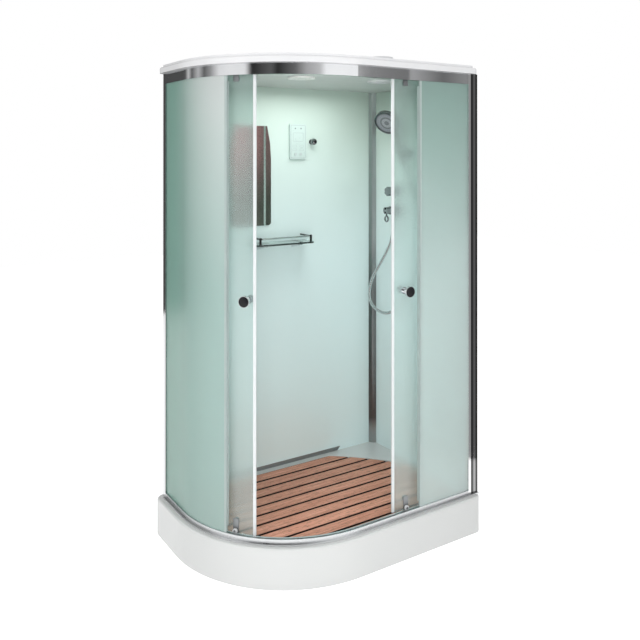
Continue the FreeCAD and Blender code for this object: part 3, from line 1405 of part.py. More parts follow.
def plain_cone(start, end, length):
    bar = doc.addObject("Part::Cone", "Cone")
    bind(bar, {"Radius1": start, "Radius2": end, "Height": length})
    return bar


SEATED = "(handle_length - holder_from_head + holder_height / 2)"


def hand_shower():
    """The handle, its shoulder on the holder, and the head; gives the hose's upper end."""
    low = NECK - UP * mm("handle_length")
    seat = low + UP * mm(SEATED)
    handle = fuse(
        leaning(plain_cone("handle_end", "handle_seat", SEATED), low, UP),
        leaning(plain_cone("handle_shoulder", "handle_top", f"handle_length - {SEATED}"), seat, UP),
    )
    disc = leaning(plain_rod("head_radius", "head_thickness"),
                   HEAD - FACE * mm("head_thickness"), FACE)
    back = leaning(plain_cone("head_radius / 3", "0.9 * head_radius", "head_thickness"),
                   HEAD - FACE * 2 * mm("head_thickness"), FACE)
    # The recess reaches forward as well, so that it trims the handle's end.
    recess = leaning(plain_rod("face_radius + seal_play", "face_thickness + head_radius"),
                     HEAD - FACE * mm("face_thickness"), FACE)
    piece("hand_shower", cut(fuse(handle, disc, back), recess))
    piece("spray_face", leaning(plain_rod("face_radius", "face_thickness"),
                                HEAD - FACE * mm("face_thickness"), FACE))
    piece("hose_nut_upper", leaning(plain_rod("nut_outer", "nut_length"), low, -UP))
    return low - UP * mm("nut_length")


def shower_holder():
    """A tapered socket that the handle drops into, on an arm from the wall."""
    centre = NECK - UP * mm("holder_from_head")
    bottom = centre - UP * mm("holder_height / 2")
    top_radius = "(handle_seat + seat_play)"
    low_radius = (f"({top_radius} - (handle_seat - handle_end) * holder_height / {SEATED})")
    socket = leaning(plain_cone(f"{low_radius} + holder_wall", f"{top_radius} + holder_wall",
                                "holder_height"), bottom, UP)
    bore = leaning(plain_cone(low_radius, top_radius, "holder_height"), bottom, UP)
    wall_point = Vector(mm("wall_x"), centre.y, centre.z)
    arm = leaning(plain_rod("holder_arm", f"wall_x - {centre.x}"), wall_point, Vector(-1, 0, 0))
    plate = leaning(plain_rod("holder_plate", "holder_plate_thickness"), wall_point,
                    Vector(-1, 0, 0))
    piece("shower_holder", cut(fuse(socket, arm, plate), bore))


# Corners of the hose's path, from the mixer's outlet down, round the bottom and up again.
HOSE_LOOP = [
    Vector(0, 0, -73),
    Vector(-23, 47, -183),
    Vector(-71, 97, -298),
    Vector(-81, 97, -418),
    Vector(-61, -25, -460),
    Vector(-49, -140, -373),
    Vector(-35, -210, -248),
    Vector(-27, -260, -88),
    Vector(-21, -250, 72),
]


def hose(upper_end):
    """The hose's free length: straight runs joined by arcs as large as the runs allow."""
    lower_end = Vector(mm("wall_x - outlet_reach"), mm("tap_y"),
                       mm("mixer_z - outlet_drop - nut_length"))
    route = [lower_end] + [lower_end + corner for corner in HOSE_LOOP]
    route += [upper_end - UP * mm("hose_rise"), upper_end]
    edges, start, radii = [], route[0], []
    for before, here, after in zip(route, route[1:], route[2:]):
        into, out = here - before, after - here
        reach = 0.45 * min(into.Length, out.Length)
        into.normalize()
        out.normalize()
        radius = reach / math.tan(into.getAngle(out) / 2)
        first, last = here - into * reach, here + out * reach
        middle = here + (out - into).normalize() * (math.hypot(radius, reach) - radius)
        edges.append(Part.LineSegment(start, first).toShape())
        edges.append(Part.Arc(first, middle, last).toShape())
        radii.append(round(radius))
        start = last
    edges.append(Part.LineSegment(start, route[-1]).toShape())
    path = Part.Wire(edges)
    section = Part.Wire([Part.Circle(route[0], route[1] - route[0], mm("hose_radius")).toShape()])
    tube = path.makePipeShell([section], True, False)
    fill = tube.Volume / (math.pi * mm("hose_radius") ** 2 * path.Length)
    print(f"hose {path.Length:.0f} mm long, bends {radii}, volume ratio {fill:.4f}")
    free = doc.addObject("Part::Feature", "Hose")
    free.Shape = tube
    piece("shower_hose", free)


# ---------------------------------------------------------------- steam plant


def steam_plant():
    """The generator hangs under the deck's back corner, and its pipe goes up behind the wall."""
    top = "tray_height - acrylic"
    boiler = new_body("Boiler")
    plan = new_sketch(boiler, height=f"{top} - boiler_height")
    rectangle(plan, "boiler_x", "boiler_y", "boiler_x + boiler_length", "boiler_y + boiler_depth")
    pad(boiler, plan, "boiler_height")
    fillet(boiler, "boiler_edge", upright)
    piece("steam_generator", boiler)

    knee = doc.addObject("Part::Sphere", "Knee")
    bind(knee, {"Radius": "steam_radius"})
    place(knee, "steam_x", "steam_y", "steam_z")
    far_knee = doc.addObject("Part::Sphere", "Knee")
    bind(far_knee, {"Radius": "steam_radius"})
    place(far_knee, "steam_x", "steam_outlet_y", "steam_z")
    cap = fuse(
        rod("wall_x", "steam_outlet_y", "steam_z", "steam_nozzle", "steam_nozzle_reach / 4", "-x"),
        cone("wall_x", "steam_outlet_y", "steam_z", "steam_nozzle * 3 / 4", "steam_nozzle / 2",
             "steam_nozzle_reach", "-x"),
    )
    mouth = rod("wall_x - steam_nozzle_reach", "steam_outlet_y", "steam_z", "steam_radius / 2",
                "steam_nozzle_reach", "+x")
    pipe = fuse(
        rod("steam_x", "steam_y", top, "steam_radius", f"steam_z - ({top})"),
        knee,
        rod("steam_x", "steam_outlet_y", "steam_z", "steam_radius", "steam_y - steam_outlet_y",
            "+y"),
        far_knee,
        rod("wall_x", "steam_outlet_y", "steam_z", "steam_radius", "steam_x - wall_x", "+x"),
        cut(cap, mouth),
    )
    piece("steam_pipe", pipe)


# ---------------------------------------------------------------- the whole cabin

tray_shell()
tray_frame()
levelling_feet()
waste()
duckboard()
rails()
columns()
walls()
fixed_glass()
left_door()
right_door()
roof_shell()
ceiling_panel()
fan()
mirror()
shelf()
control_panel()
robe_hook()
mixer()
diverter()
hose(hand_shower())
shower_holder()
steam_plant()
doc.recompute()

for thing in doc.Objects:
    if {"Invalid", "Error"} & set(thing.State):
        raise ValueError(f"{thing.Name} ({thing.Label}) did not build: {thing.State}")
for sub_part in pieces:
    if sub_part.Shape.isNull() or not sub_part.Shape.isValid():
        raise ValueError(f"{sub_part.Label} has no valid shape")

os.makedirs("parts", exist_ok=True)
for sub_part in pieces:
    sub_part.Shape.exportStep(f"parts/{sub_part.Label}.step")
print(f"{len(pieces)} sub-parts")
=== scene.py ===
# %% [markdown]
# Steam shower cabin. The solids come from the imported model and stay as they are. This file dresses
# them: a camera, a hose drawn as one smooth line, a few small turned and moulded parts, and a
# finish for each piece.

# %% Load the solids
import math

import bmesh
import bpy
from mathutils import Matrix, Vector


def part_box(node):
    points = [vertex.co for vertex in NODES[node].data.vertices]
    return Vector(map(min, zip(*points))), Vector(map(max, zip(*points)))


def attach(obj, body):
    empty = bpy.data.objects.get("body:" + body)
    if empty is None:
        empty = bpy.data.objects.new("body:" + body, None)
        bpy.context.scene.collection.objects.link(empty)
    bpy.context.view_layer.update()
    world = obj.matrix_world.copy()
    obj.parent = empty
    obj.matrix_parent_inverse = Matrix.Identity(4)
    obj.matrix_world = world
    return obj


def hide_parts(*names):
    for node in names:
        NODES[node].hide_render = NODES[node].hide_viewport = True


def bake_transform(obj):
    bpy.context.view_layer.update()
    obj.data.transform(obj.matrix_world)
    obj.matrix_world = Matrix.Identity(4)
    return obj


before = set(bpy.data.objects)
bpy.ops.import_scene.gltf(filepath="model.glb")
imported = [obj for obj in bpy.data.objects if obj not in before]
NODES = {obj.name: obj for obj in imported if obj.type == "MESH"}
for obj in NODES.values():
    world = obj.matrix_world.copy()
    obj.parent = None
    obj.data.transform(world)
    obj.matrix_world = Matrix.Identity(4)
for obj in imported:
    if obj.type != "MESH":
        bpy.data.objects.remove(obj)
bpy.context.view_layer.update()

# %% [markdown]
# The photograph was taken from a little below roof height, to the left of the doorway. Solving its
# perspective gives a camera about 3.3 m away that looks level, so its upright edges stay parallel,
# with the frame shifted down to take in the tray. The sensor is 36 mm high, and the height sets the
# picture's angle. Its width is half of that, so that a view from another side, which keeps the
# shift, stands far enough back to hold the whole cabin.

# %% Camera
eye = bpy.data.objects.new("eye", bpy.data.cameras.new("eye"))
eye.location = (-1.762, -2.777, 1.653)
eye.rotation_euler = (math.radians(90.12), 0, math.radians(-33.83))
eye.data.sensor_fit = "VERTICAL"
eye.data.sensor_height = 36
eye.data.sensor_width = 18
eye.data.lens = 42.0
eye.data.shift_x = -0.0273
eye.data.shift_y = -0.2609
bpy.context.scene.collection.objects.link(eye)
bpy.context.scene.camera = eye
print("camera", tuple(round(c, 2) for c in eye.location), eye.data.lens, "mm")

# %% [markdown]
# The shower hose is a metal spiral over a rubber tube. It leaves the mixer downwards, hangs in a
# wide loop and climbs to the hand shower. A NURBS curve with a round bevel gives the smooth line of
# a hanging hose from few points, where a polyline would show corners.

# %% Hose
HOSE_POINTS = [
    (0.545, 0.165, 1.318), (0.545, 0.165, 1.245), (0.522, 0.212, 1.135), (0.474, 0.262, 1.020),
    (0.464, 0.262, 0.900), (0.484, 0.140, 0.858), (0.496, 0.025, 0.945), (0.510, -0.045, 1.070),
    (0.518, -0.095, 1.230), (0.524, -0.085, 1.390), (0.535, 0.027, 1.520), (0.527, 0.061, 1.614),
]
HOSE_WIDTH = 0.014
hose_line = bpy.data.curves.new("hose", "CURVE")
hose_line.dimensions = "3D"
run = hose_line.splines.new("NURBS")
run.points.add(len(HOSE_POINTS) - 1)
for point, place in zip(run.points, HOSE_POINTS):
    point.co = (*place, 1)
    point.radius = HOSE_WIDTH / 2
run.order_u = 3
run.use_endpoint_u = True
run.resolution_u = 24
hose_line.bevel_resolution = 6
drawn = bpy.data.objects.new("hose_line", hose_line)
bpy.context.scene.collection.objects.link(drawn)


def line_mesh(depth):
    """The line as a mesh: bare at depth 0, and a tube as thick as its points say at depth 1."""
    hose_line.bevel_depth = depth
    bpy.context.view_layer.update()
    graph = bpy.context.evaluated_depsgraph_get()
    return bpy.data.meshes.new_from_object(drawn.evaluated_get(graph), depsgraph=graph)


hose_path = [tuple(vertex.co) for vertex in line_mesh(0).vertices]
hose = bpy.data.objects.new("hose", line_mesh(1))
bpy.data.objects.remove(drawn)
bpy.context.scene.collection.objects.link(hose)
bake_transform(hose)
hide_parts("shower_hose")
print("hose", len(HOSE_POINTS), "points,", len(hose.data.vertices), "vertices")

# %% [markdown]
# Every finish below is a node tree. A few helpers keep the cells short: one turns a colour as seen
# on a screen into the linear numbers a shader takes, two add a node and fill its sockets, and two
# fill a colour ramp.

# %% Colour and node helpers
def paint(red, green, blue):
    """A screen colour, 0 to 255 each, as linear numbers (the sRGB curve)."""
    return tuple(((c / 255 + 0.055) / 1.055) ** 2.4 for c in (red, green, blue)) + (1.0,)


def fill(tree, node, sockets):
    """Fills a node's sockets, each with a number, a colour or another node's output."""
    for name, value in sockets.items():
        if isinstance(value, bpy.types.NodeSocket):
            tree.links.new(value, node.inputs[name])
        else:
            node.inputs[name].default_value = value


def add(tree, kind, sockets=None, **settings):
    """A node of that kind, with its settings and sockets filled."""
    made = tree.nodes.new("ShaderNode" + kind)
    for name, value in settings.items():
        setattr(made, name, value)
    fill(tree, made, sockets or {})
    return made


def steps(ramp, stops):
    """Fills a colour ramp with (place, colour) stops."""
    while len(ramp.elements) > 1:
        ramp.elements.remove(ramp.elements[-1])
    ramp.elements[0].position, ramp.elements[0].color = stops[0]
    for place, colour in stops[1:]:
        ramp.elements.new(place).color = colour


def greys(stops, blue=1.0):
    """The (place, level) stops as greys; blue makes them a little bluer."""
    return [(place, (level, level, level * blue, 1)) for place, level in stops]


print("mid grey on screen is", round(paint(128, 128, 128)[0], 3), "in a shader")

# %% [markdown]
# An effect that several finishes share is a node group, built once and placed with its own values
# in each. The group puts out colours and numbers only, and the shader stays in the material.

# %% A maker for effects
SOCKET = {"value": "NodeSocketFloat", "colour": "NodeSocketColor", "vector": "NodeSocketVector"}


def effect(name, wants, gives):
    """An empty group with those inputs (label: kind, default) and outputs (label: kind)."""
    tree = bpy.data.node_groups.new(name, "ShaderNodeTree")
    for label, (kind, default) in wants.items():
        tree.interface.new_socket(label, in_out="INPUT",
                                  socket_type=SOCKET[kind]).default_value = default
    for label, kind in gives.items():
        tree.interface.new_socket(label, in_out="OUTPUT", socket_type=SOCKET[kind])
    return tree, tree.nodes.new("NodeGroupInput"), tree.nodes.new("NodeGroupOutput")


def give(tree, end, **outputs):
    """Joins the group's outputs."""
    for label, socket in outputs.items():
        tree.links.new(socket, end.inputs[label])


def use(tree, group, **values):
    """The group placed in a material's tree, with its own values."""
    made = tree.nodes.new("ShaderNodeGroup")
    made.node_tree = group
    fill(tree, made, values)
    return made


print("effect maker ready")

# %% [markdown]
# Nothing made is one even colour. Mouldings drift a little in tone, and hands and water leave
# smudges that change the gloss. A painted picture could hold both, but soft noise in the piece's own
# coordinates needs no unwrapping and fits a piece of any shape. A third, finer noise is the skin's
# texture, for a bump.

# %% Effect: drift and smudges
SMEARS_FINER = 3.7  # how much finer the smudges are than the drift in tone
drift, start, end = effect(
    "tone drift",
    {"Colour": ("colour", (0.8, 0.8, 0.8, 1)), "Second": ("colour", (0.7, 0.7, 0.7, 1)),
     "Scale": ("value", 4.0), "Low": ("value", 0.2), "High": ("value", 0.3),
     "Grain": ("value", 300.0)},
    {"Colour": "colour", "Roughness": "value", "Height": "value"})
spot = add(drift, "TexCoord")
cloud = add(drift, "TexNoise", {"Vector": spot.outputs["Object"], "Scale": start.outputs["Scale"],
                                "Detail": 3.0})
mixed = add(drift, "Mix", {0: cloud.outputs[0], 6: start.outputs["Colour"],
                           7: start.outputs["Second"]}, data_type="RGBA")
smear_scale = add(drift, "Math", {0: start.outputs["Scale"], 1: SMEARS_FINER},
                  operation="MULTIPLY")
smear = add(drift, "TexNoise", {"Vector": spot.outputs["Object"], "Scale": smear_scale.outputs[0],
                                "Detail": 5.0, "Roughness": 0.6})
gloss = add(drift, "MapRange", {"Value": smear.outputs[0], "From Min": 0.3, "From Max": 0.7,
                                "To Min": start.outputs["Low"], "To Max": start.outputs["High"]})
fine = add(drift, "TexNoise", {"Vector": spot.outputs["Object"], "Scale": start.outputs["Grain"],
                               "Detail": 2.0})
give(drift, end, Colour=mixed.outputs[2], Roughness=gloss.outputs[0], Height=fine.outputs[0])
print("effect", drift.name)

# %% [markdown]
# The panes and the wall sheets are painted darker and greener near the roof, as painted shade, and
# whiter near the tray, as painted light from the pale deck. This effect fades between two colours
# along Z, and a slow noise makes the fade wander, so that it does not read as a drawn line.

# %% Effect: fade up the height
WANDER = 0.12  # metres that the fade wanders up and down
rise, start, end = effect(
    "fade up the height",
    {"Low colour": ("colour", (0.8, 0.8, 0.8, 1)), "High colour": ("colour", (0.5, 0.6, 0.5, 1)),
     "Low": ("value", 0.2), "High": ("value", 2.0)},
    {"Colour": "colour"})
spot = add(rise, "TexCoord")
split = add(rise, "SeparateXYZ", {0: spot.outputs["Object"]})
wander = add(rise, "TexNoise", {"Vector": spot.outputs["Object"], "Scale": 1.6, "Detail": 2.0})
shift = add(rise, "MapRange", {"Value": wander.outputs[0], "To Min": -WANDER, "To Max": WANDER})
level = add(rise, "Math", {0: split.outputs["Z"], 1: shift.outputs[0]}, operation="ADD")
fade = add(rise, "MapRange", {"Value": level.outputs[0], "From Min": start.outputs["Low"],
                              "From Max": start.outputs["High"]}, interpolation_type="SMOOTHSTEP")
mixed = add(rise, "Mix", {0: fade.outputs[0], 6: start.outputs["Low colour"],
                          7: start.outputs["High colour"]}, data_type="RGBA")
give(rise, end, Colour=mixed.outputs[2])
print("effect", rise.name)

# %% [markdown]
# Rolled and brushed metal carries fine lines along its length. Noise that is squeezed across and
# stretched along gives them, for both the aluminium rails and the zinc-plated feet.

# %% Effect: brushed lines
brushed, start, end = effect(
    "brushed lines",
    {"Stretch": ("vector", (8, 8, 400)), "Low": ("value", 0.2), "High": ("value", 0.4)},
    {"Roughness": "value", "Height": "value"})
spot = add(brushed, "TexCoord")
scaled = add(brushed, "VectorMath", {0: spot.outputs["Object"], 1: start.outputs["Stretch"]},
             operation="MULTIPLY")
lines = add(brushed, "TexNoise", {"Vector": scaled.outputs[0], "Scale": 1.0, "Detail": 3.0})
gloss = add(brushed, "MapRange", {"Value": lines.outputs[0], "From Min": 0.3, "From Max": 0.7,
                                  "To Min": start.outputs["Low"], "To Max": start.outputs["High"]})
give(brushed, end, Roughness=gloss.outputs[0], Height=lines.outputs[0])
print("effect", brushed.name)

# %% [markdown]
# A finish is a Principled shader whose colour, roughness and bump come from the effects. The makers
# below set the plain numbers on the shader's own sockets and join the rest. Most pieces need no more
# than a drift between two close tones, so that has a maker of its own.

# %% Makers for finishes
def finish(name, constants=None):
    """A material, its tree and its shader, with those numbers on the shader's sockets."""
    made = bpy.data.materials.new(name)
    made.use_nodes = True
    tree = made.node_tree
    shader = tree.nodes["Principled BSDF"]
    for label, value in (constants or {}).items():
        shader.inputs[label].default_value = value
    return made, tree, shader


def join(tree, shader, colour, roughness, height, strength, distance):
    """Joins colour, roughness and a bump of that strength and distance (in metres) to a shader."""
    tree.links.new(colour, shader.inputs["Base Color"])
    tree.links.new(roughness, shader.inputs["Roughness"])
    bump = add(tree, "Bump", {"Strength": strength, "Distance": distance, "Height": height})
    tree.links.new(bump.outputs[0], shader.inputs["Normal"])


def drifting(name, first, second, low, high, scale=4.0, grain=300.0, strength=0.05,
             distance=0.0005, **constants):
    """A finish that drifts between two tones, and in roughness between low and high."""
    made, tree, shader = finish(name, constants)
    tone = use(tree, drift, Colour=first, Second=second, Scale=scale, Low=low, High=high,
               Grain=grain)
    join(tree, shader, tone.outputs["Colour"], tone.outputs["Roughness"],
         tone.outputs["Height"], strength, distance)
    return made


def dress(material, *names):
    """Gives that finish to nodes by name."""
    for name in names:
        data = NODES[name].data
        data.materials.clear()
        data.materials.append(material)
    print(material.name, "on", ", ".join(names))


# %% [markdown]
# The tray and the roof are glass-fibre backed acrylic, drawn over a mould: bright white with a high,
# slightly wavy gloss. A clear coat gives that gloss, and a bump of coarse, low noise gives the
# waves. The roof is the same acrylic painted whiter, as painted light.

# %% Acrylic
acrylic = drifting("white acrylic", paint(226, 227, 226), paint(216, 218, 217), 0.10, 0.22,
                   scale=2.5, grain=40, strength=0.05, distance=0.001,
                   **{"Coat Weight": 0.35, "Coat Roughness": 0.08, "IOR": 1.49})
dress(acrylic, "tray_shell")
# The roof's whiter tones are painted light.
roof_painted_light = drifting("roof acrylic, painted light", paint(243, 243, 244), paint(236, 237, 239), 0.12, 0.24,
                      scale=2.5, grain=40, strength=0.05, distance=0.001,
                      **{"Coat Weight": 0.3, "Coat Roughness": 0.08, "IOR": 1.49})
dress(roof_painted_light, "roof_shell")

# %% [markdown]
# The duckboard is oiled hardwood. Its slats run along X, so the grain is noise stretched along X,
# and each slat gets its own tone from its place in the row. Short dark flecks are the open pores.
# The sawn sides and the eased edges are painted nearly black, as painted shade in the gaps, so the
# gaps read as dark lines.

# %% Wood
SLAT_PITCH = 0.0715
SLAT_WIDTH = 0.0615
SLAT_SHARE = SLAT_WIDTH / SLAT_PITCH
# Shares of the pitch, in from a slat's front and back edge, where it is wood and where painted shade
# makes it nearly black
FRONT_WOOD, FRONT_BLACK = 0.030, 0.022
BACK_WOOD, BACK_BLACK = 0.026, 0.018
# Metres below a slat's top, where its side is still wood and where painted shade makes it nearly
# black
SIDE_WOOD, SIDE_BLACK = 0.0010, 0.0035
_, slat_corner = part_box("duckboard_slats")
SLAT_BACK, SLAT_TOP = slat_corner.y, slat_corner.z


def timber(name, light, dark, run_scale):
    """Oiled timber between two tones; run_scale is the fineness of its grain along X, Y and Z."""
    made, tree, shader = finish(name, {"Specular IOR Level": 0.35})
    spot = add(tree, "TexCoord")
    split = add(tree, "SeparateXYZ", {0: spot.outputs["Object"]})
    row = add(tree, "Math", {0: split.outputs["Y"], 1: -SLAT_BACK}, operation="ADD")
    row = add(tree, "Math", {0: row.outputs[0], 1: SLAT_PITCH}, operation="DIVIDE")
    row = add(tree, "Math", {0: row.outputs[0]}, operation="FLOOR")
    own = add(tree, "TexWhiteNoise", {"W": row.outputs[0]}, noise_dimensions="1D")
    moved = add(tree, "VectorMath", {0: spot.outputs["Object"], 1: own.outputs["Color"]},
                operation="ADD")
    along = add(tree, "VectorMath", {0: moved.outputs[0], 1: run_scale}, operation="MULTIPLY")
    grain = add(tree, "TexNoise", {"Vector": along.outputs[0], "Scale": 1.0, "Detail": 6.0,
                                   "Roughness": 0.62, "Distortion": 0.6})
    ramp = add(tree, "ValToRGB", {"Fac": grain.outputs[0]})
    steps(ramp.color_ramp, [(0.30, dark), (0.50, tuple((a + b) / 2 for a, b in zip(light, dark))),
                            (0.68, light)])
    short = add(tree, "VectorMath", {0: along.outputs[0], 1: (5, 3.5, 3.5)}, operation="MULTIPLY")
    pores = add(tree, "TexNoise", {"Vector": short.outputs[0], "Scale": 1.0, "Detail": 2.0})
    holes = add(tree, "MapRange", {"Value": pores.outputs[0], "From Min": 0.34, "From Max": 0.42,
                                   "To Min": 0.45, "To Max": 1.0})
    tone = add(tree, "MapRange", {"Value": own.outputs["Value"], "To Min": 0.86, "To Max": 1.12})
    depth = add(tree, "Math", {0: holes.outputs[0], 1: tone.outputs[0]}, operation="MULTIPLY")
    # Painted shade: a slat's side turns nearly black below its top.
    side_shade = add(tree, "MapRange", {"Value": split.outputs["Z"], "From Min": SLAT_TOP - SIDE_BLACK,
                                   "From Max": SLAT_TOP - SIDE_WOOD, "To Min": 0.04})
    depth = add(tree, "Math", {0: depth.outputs[0], 1: side_shade.outputs[0]}, operation="MULTIPLY")
    # 0 at a slat's back edge, 1 at the next slat's
    place = add(tree, "Math", {0: split.outputs["Y"], 1: -SLAT_BACK}, operation="ADD")
    place = add(tree, "Math", {0: place.outputs[0], 1: -1 / SLAT_PITCH}, operation="MULTIPLY")
    place = add(tree, "Math", {0: place.outputs[0]}, operation="FRACT")
    # Painted shade: a slat turns nearly black near its front and back edges.
    front = add(tree, "MapRange", {"Value": place.outputs[0], "From Min": SLAT_SHARE - FRONT_WOOD,
                                   "From Max": SLAT_SHARE - FRONT_BLACK, "To Min": 1.0,
                                   "To Max": 0.05})
    back = add(tree, "MapRange", {"Value": place.outputs[0], "From Min": BACK_BLACK,
                                  "From Max": BACK_WOOD, "To Min": 0.05, "To Max": 1.0})
    wear_and_edge_shade = add(tree, "Math", {0: front.outputs[0], 1: back.outputs[0]}, operation="MULTIPLY")
    depth = add(tree, "Math", {0: depth.outputs[0], 1: wear_and_edge_shade.outputs[0]}, operation="MULTIPLY")
    shade = add(tree, "VectorMath", {0: ramp.outputs[0], "Scale": depth.outputs[0]},
                operation="SCALE")
    gloss = add(tree, "MapRange", {"Value": grain.outputs[0], "To Min": 0.62, "To Max": 0.42})
    join(tree, shader, shade.outputs[0], gloss.outputs[0], holes.outputs[0], 0.35, 0.0006)
    return made


slat_wood = timber("oiled slats", paint(246, 184, 158), paint(202, 134, 108), (6, 130, 130))
bearer_wood = timber("oiled bearers", paint(120, 78, 62), paint(78, 46, 36), (130, 6, 130))
dress(slat_wood, "duckboard_slats")
dress(bearer_wood, "duckboard_bearers")

# %% [markdown]
# Chrome shows what stands round it. Its own colour is nearly neutral, and only a film of smudges
# breaks the reflection, so its roughness drifts from mirror to slightly soft. The taps, the hook and
# the hand shower are plated too, but small and rounded; they read darker than the flat chrome, so
# they get a darker copy of it, whose colour is painted dark reflection.

# %% Chrome
chrome = drifting("polished chrome", (0.80, 0.81, 0.82, 1), (0.72, 0.73, 0.75, 1), 0.04, 0.10,
                  scale=14, grain=120, strength=0.02, distance=0.0003, Metallic=1.0)
dress(chrome, "top_rail", "shelf_brackets", "left_door_knobs",
      "right_door_knobs", "waste_flange", "steam_pipe")
# The darker colour of this chrome is painted dark reflection.
shaded_chrome = drifting("fittings chrome, painted dark reflection", (0.38, 0.39, 0.40, 1), (0.24, 0.25, 0.26, 1), 0.04,
                         0.10, scale=40, grain=300, strength=0.02, distance=0.0002, Metallic=1.0)
dress(shaded_chrome, "robe_hook", "mixer_body", "diverter_body", "hose_nut_lower",
      "hose_nut_upper", "shower_holder", "hand_shower", "mixer_cap", "mixer_lever",
      "diverter_knob")

# %% [markdown]
# The wall columns are chrome, and their upright bands of light and dark are painted reflections. The
# corner trim is painted dark below and paler towards the roof, as painted reflection and shade, and
# the shelf's gallery has dark end posts. All of these are bands along one axis, so one maker takes
# the axis, the ends and the bands.

# %% Banded chrome
def banded(name, axis, low, high, bands, gloss=(0.05, 0.12)):
    """Chrome whose tone changes in bands between low and high along an axis."""
    made, tree, shader = finish(name, {"Metallic": 1.0})
    spot = add(tree, "TexCoord")
    split = add(tree, "SeparateXYZ", {0: spot.outputs["Object"]})
    share = add(tree, "MapRange", {"Value": split.outputs[axis], "From Min": low,
                                   "From Max": high})
    ramp = add(tree, "ValToRGB", {"Fac": share.outputs[0]})
    steps(ramp.color_ramp, greys(bands, blue=1.01))
    marks = use(tree, drift, Scale=14.0, Low=gloss[0], High=gloss[1], Grain=120.0)
    join(tree, shader, ramp.outputs[0], marks.outputs["Roughness"], marks.outputs["Height"],
         0.02, 0.0003)
    return made


# The columns' bands are painted reflections.
right_low, right_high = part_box("wall_column_right")
dress(banded("right column, painted reflections", "X", right_low[0], right_high[0],
             [(0.0, 0.95), (0.24, 0.95), (0.29, 0.07), (0.46, 0.09), (0.56, 0.34), (0.72, 0.40),
              (0.82, 0.10), (1.0, 0.05)]), "wall_column_right")
left_low, left_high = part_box("wall_column_left")
dress(banded("left column, painted reflections", "Y", left_low[1], left_high[1],
             [(0.0, 0.50), (0.3, 0.95), (0.5, 0.50), (0.8, 0.85), (1.0, 0.4)]),
      "wall_column_left")
# The corner trim's bands are painted reflection and shade.
corner_low, corner_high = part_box("corner_column")
dress(banded("corner trim", "Z", corner_low[2], corner_high[2],
             [(0.0, 0.50), (0.04, 0.50), (0.07, 0.20), (0.45, 0.26), (0.60, 0.60), (1.0, 0.80)],
             gloss=(0.30, 0.40)), "corner_column")
gallery_low, gallery_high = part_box("shelf_rail")
dress(banded("gallery chrome", "X", gallery_low[0], gallery_high[0],
             [(0.0, 0.05), (0.045, 0.06), (0.055, 0.80), (0.945, 0.80), (0.955, 0.06),
              (1.0, 0.05)]), "shelf_rail")

# %% [markdown]
# The bottom rail and the strip at the foot of the wall are satin anodised aluminium, drawn through
# a die, with fine lines along their length. The door brackets and the feet are plated steel, which
# has the same kind of lines, only shorter and duller.

# %% Satin aluminium and plated steel
WORN_SHARE = 0.86  # the worn tone's brightness next to the first tone's


def satin(name, colour, stretch, low, high, strength=0.06):
    """Lined metal; stretch is the fineness of its lines along X, Y and Z."""
    made, tree, shader = finish(name, {"Metallic": 1.0})
    wear_and_edge_shade = tuple(c * WORN_SHARE for c in colour[:3]) + (1,)
    tone = use(tree, drift, Colour=colour, Second=wear_and_edge_shade, Scale=5.0, Low=low, High=high,
               Grain=200.0)
    marks = use(tree, brushed, Stretch=stretch, Low=low, High=high)
    join(tree, shader, tone.outputs["Colour"], marks.outputs["Roughness"],
         marks.outputs["Height"], strength, 0.0004)
    return made


dress(satin("satin aluminium", (0.80, 0.81, 0.82, 1), (12, 12, 500), 0.24, 0.38), "bottom_rail")
dress(satin("bracket steel", (0.34, 0.35, 0.36, 1), (80, 80, 500), 0.25, 0.40),
      "left_roller_brackets", "right_roller_brackets")
# The base strip's dark tone is painted dark reflection.
dress(satin("base strip, painted dark reflection", (0.40, 0.41, 0.42, 1), (4, 4, 600), 0.35, 0.50), "wall_base_trim")
dress(satin("zinc plate", (0.62, 0.63, 0.64, 1), (60, 60, 500), 0.30, 0.45, 0.12),
      "levelling_feet", "steam_generator")

# %% [markdown]
# The frame under the basin is welded square tube with a powder coat: matt grey with the fine
# orange-peel skin that baked powder has. The mouldings are plastic with a finer skin: grey for the
# trap and the fan, white for the wheels and the fan's housing, pale green-grey for the panel and its
# buttons, and milky for the lamp. They differ only in tone, gloss and skin, so the drifting maker
# serves them all.

# %% Powder coat and mouldings
dress(drifting("grey powder coat", paint(150, 152, 154), paint(136, 138, 141), 0.45, 0.6,
               scale=9, grain=900, strength=0.3, distance=0.0006), "tray_frame")
dress(drifting("grey moulding", paint(120, 122, 124), paint(104, 106, 108), 0.45, 0.6,
               scale=20, grain=1500, strength=0.2, distance=0.0003), "waste_trap", "fan_rotor")
white_moulding = drifting("white moulding", paint(236, 237, 238), paint(224, 226, 228), 0.30,
                          0.42, scale=18, grain=1600, strength=0.12, distance=0.0002)
dress(white_moulding, "fan_housing", *[name for name in NODES if "wheel" in name])
dress(drifting("panel moulding", paint(200, 217, 212), paint(190, 208, 203), 0.25, 0.36, scale=18,
               grain=1600, strength=0.08, distance=0.0002), "control_panel")
dress(drifting("button moulding", paint(196, 208, 206), paint(180, 194, 192), 0.25, 0.36,
               scale=90, grain=1600, strength=0.08, distance=0.0001),
      "button_steam", "button_light")
dress(drifting("opal lens", paint(246, 246, 243), paint(238, 239, 236), 0.25, 0.35, scale=30,
               grain=1200, strength=0.1, distance=0.0002), "ceiling_lamp")

# %% [markdown]
# The ceiling is a thin pressed sheet, plain white with a satin face. It is a little greyer and more
# matt than the roof over it.

# %% Ceiling
dress(drifting("satin ceiling", paint(214, 218, 216), paint(200, 206, 203), 0.35, 0.5, scale=3,
               grain=700, strength=0.12, distance=0.0003), "ceiling_panel")

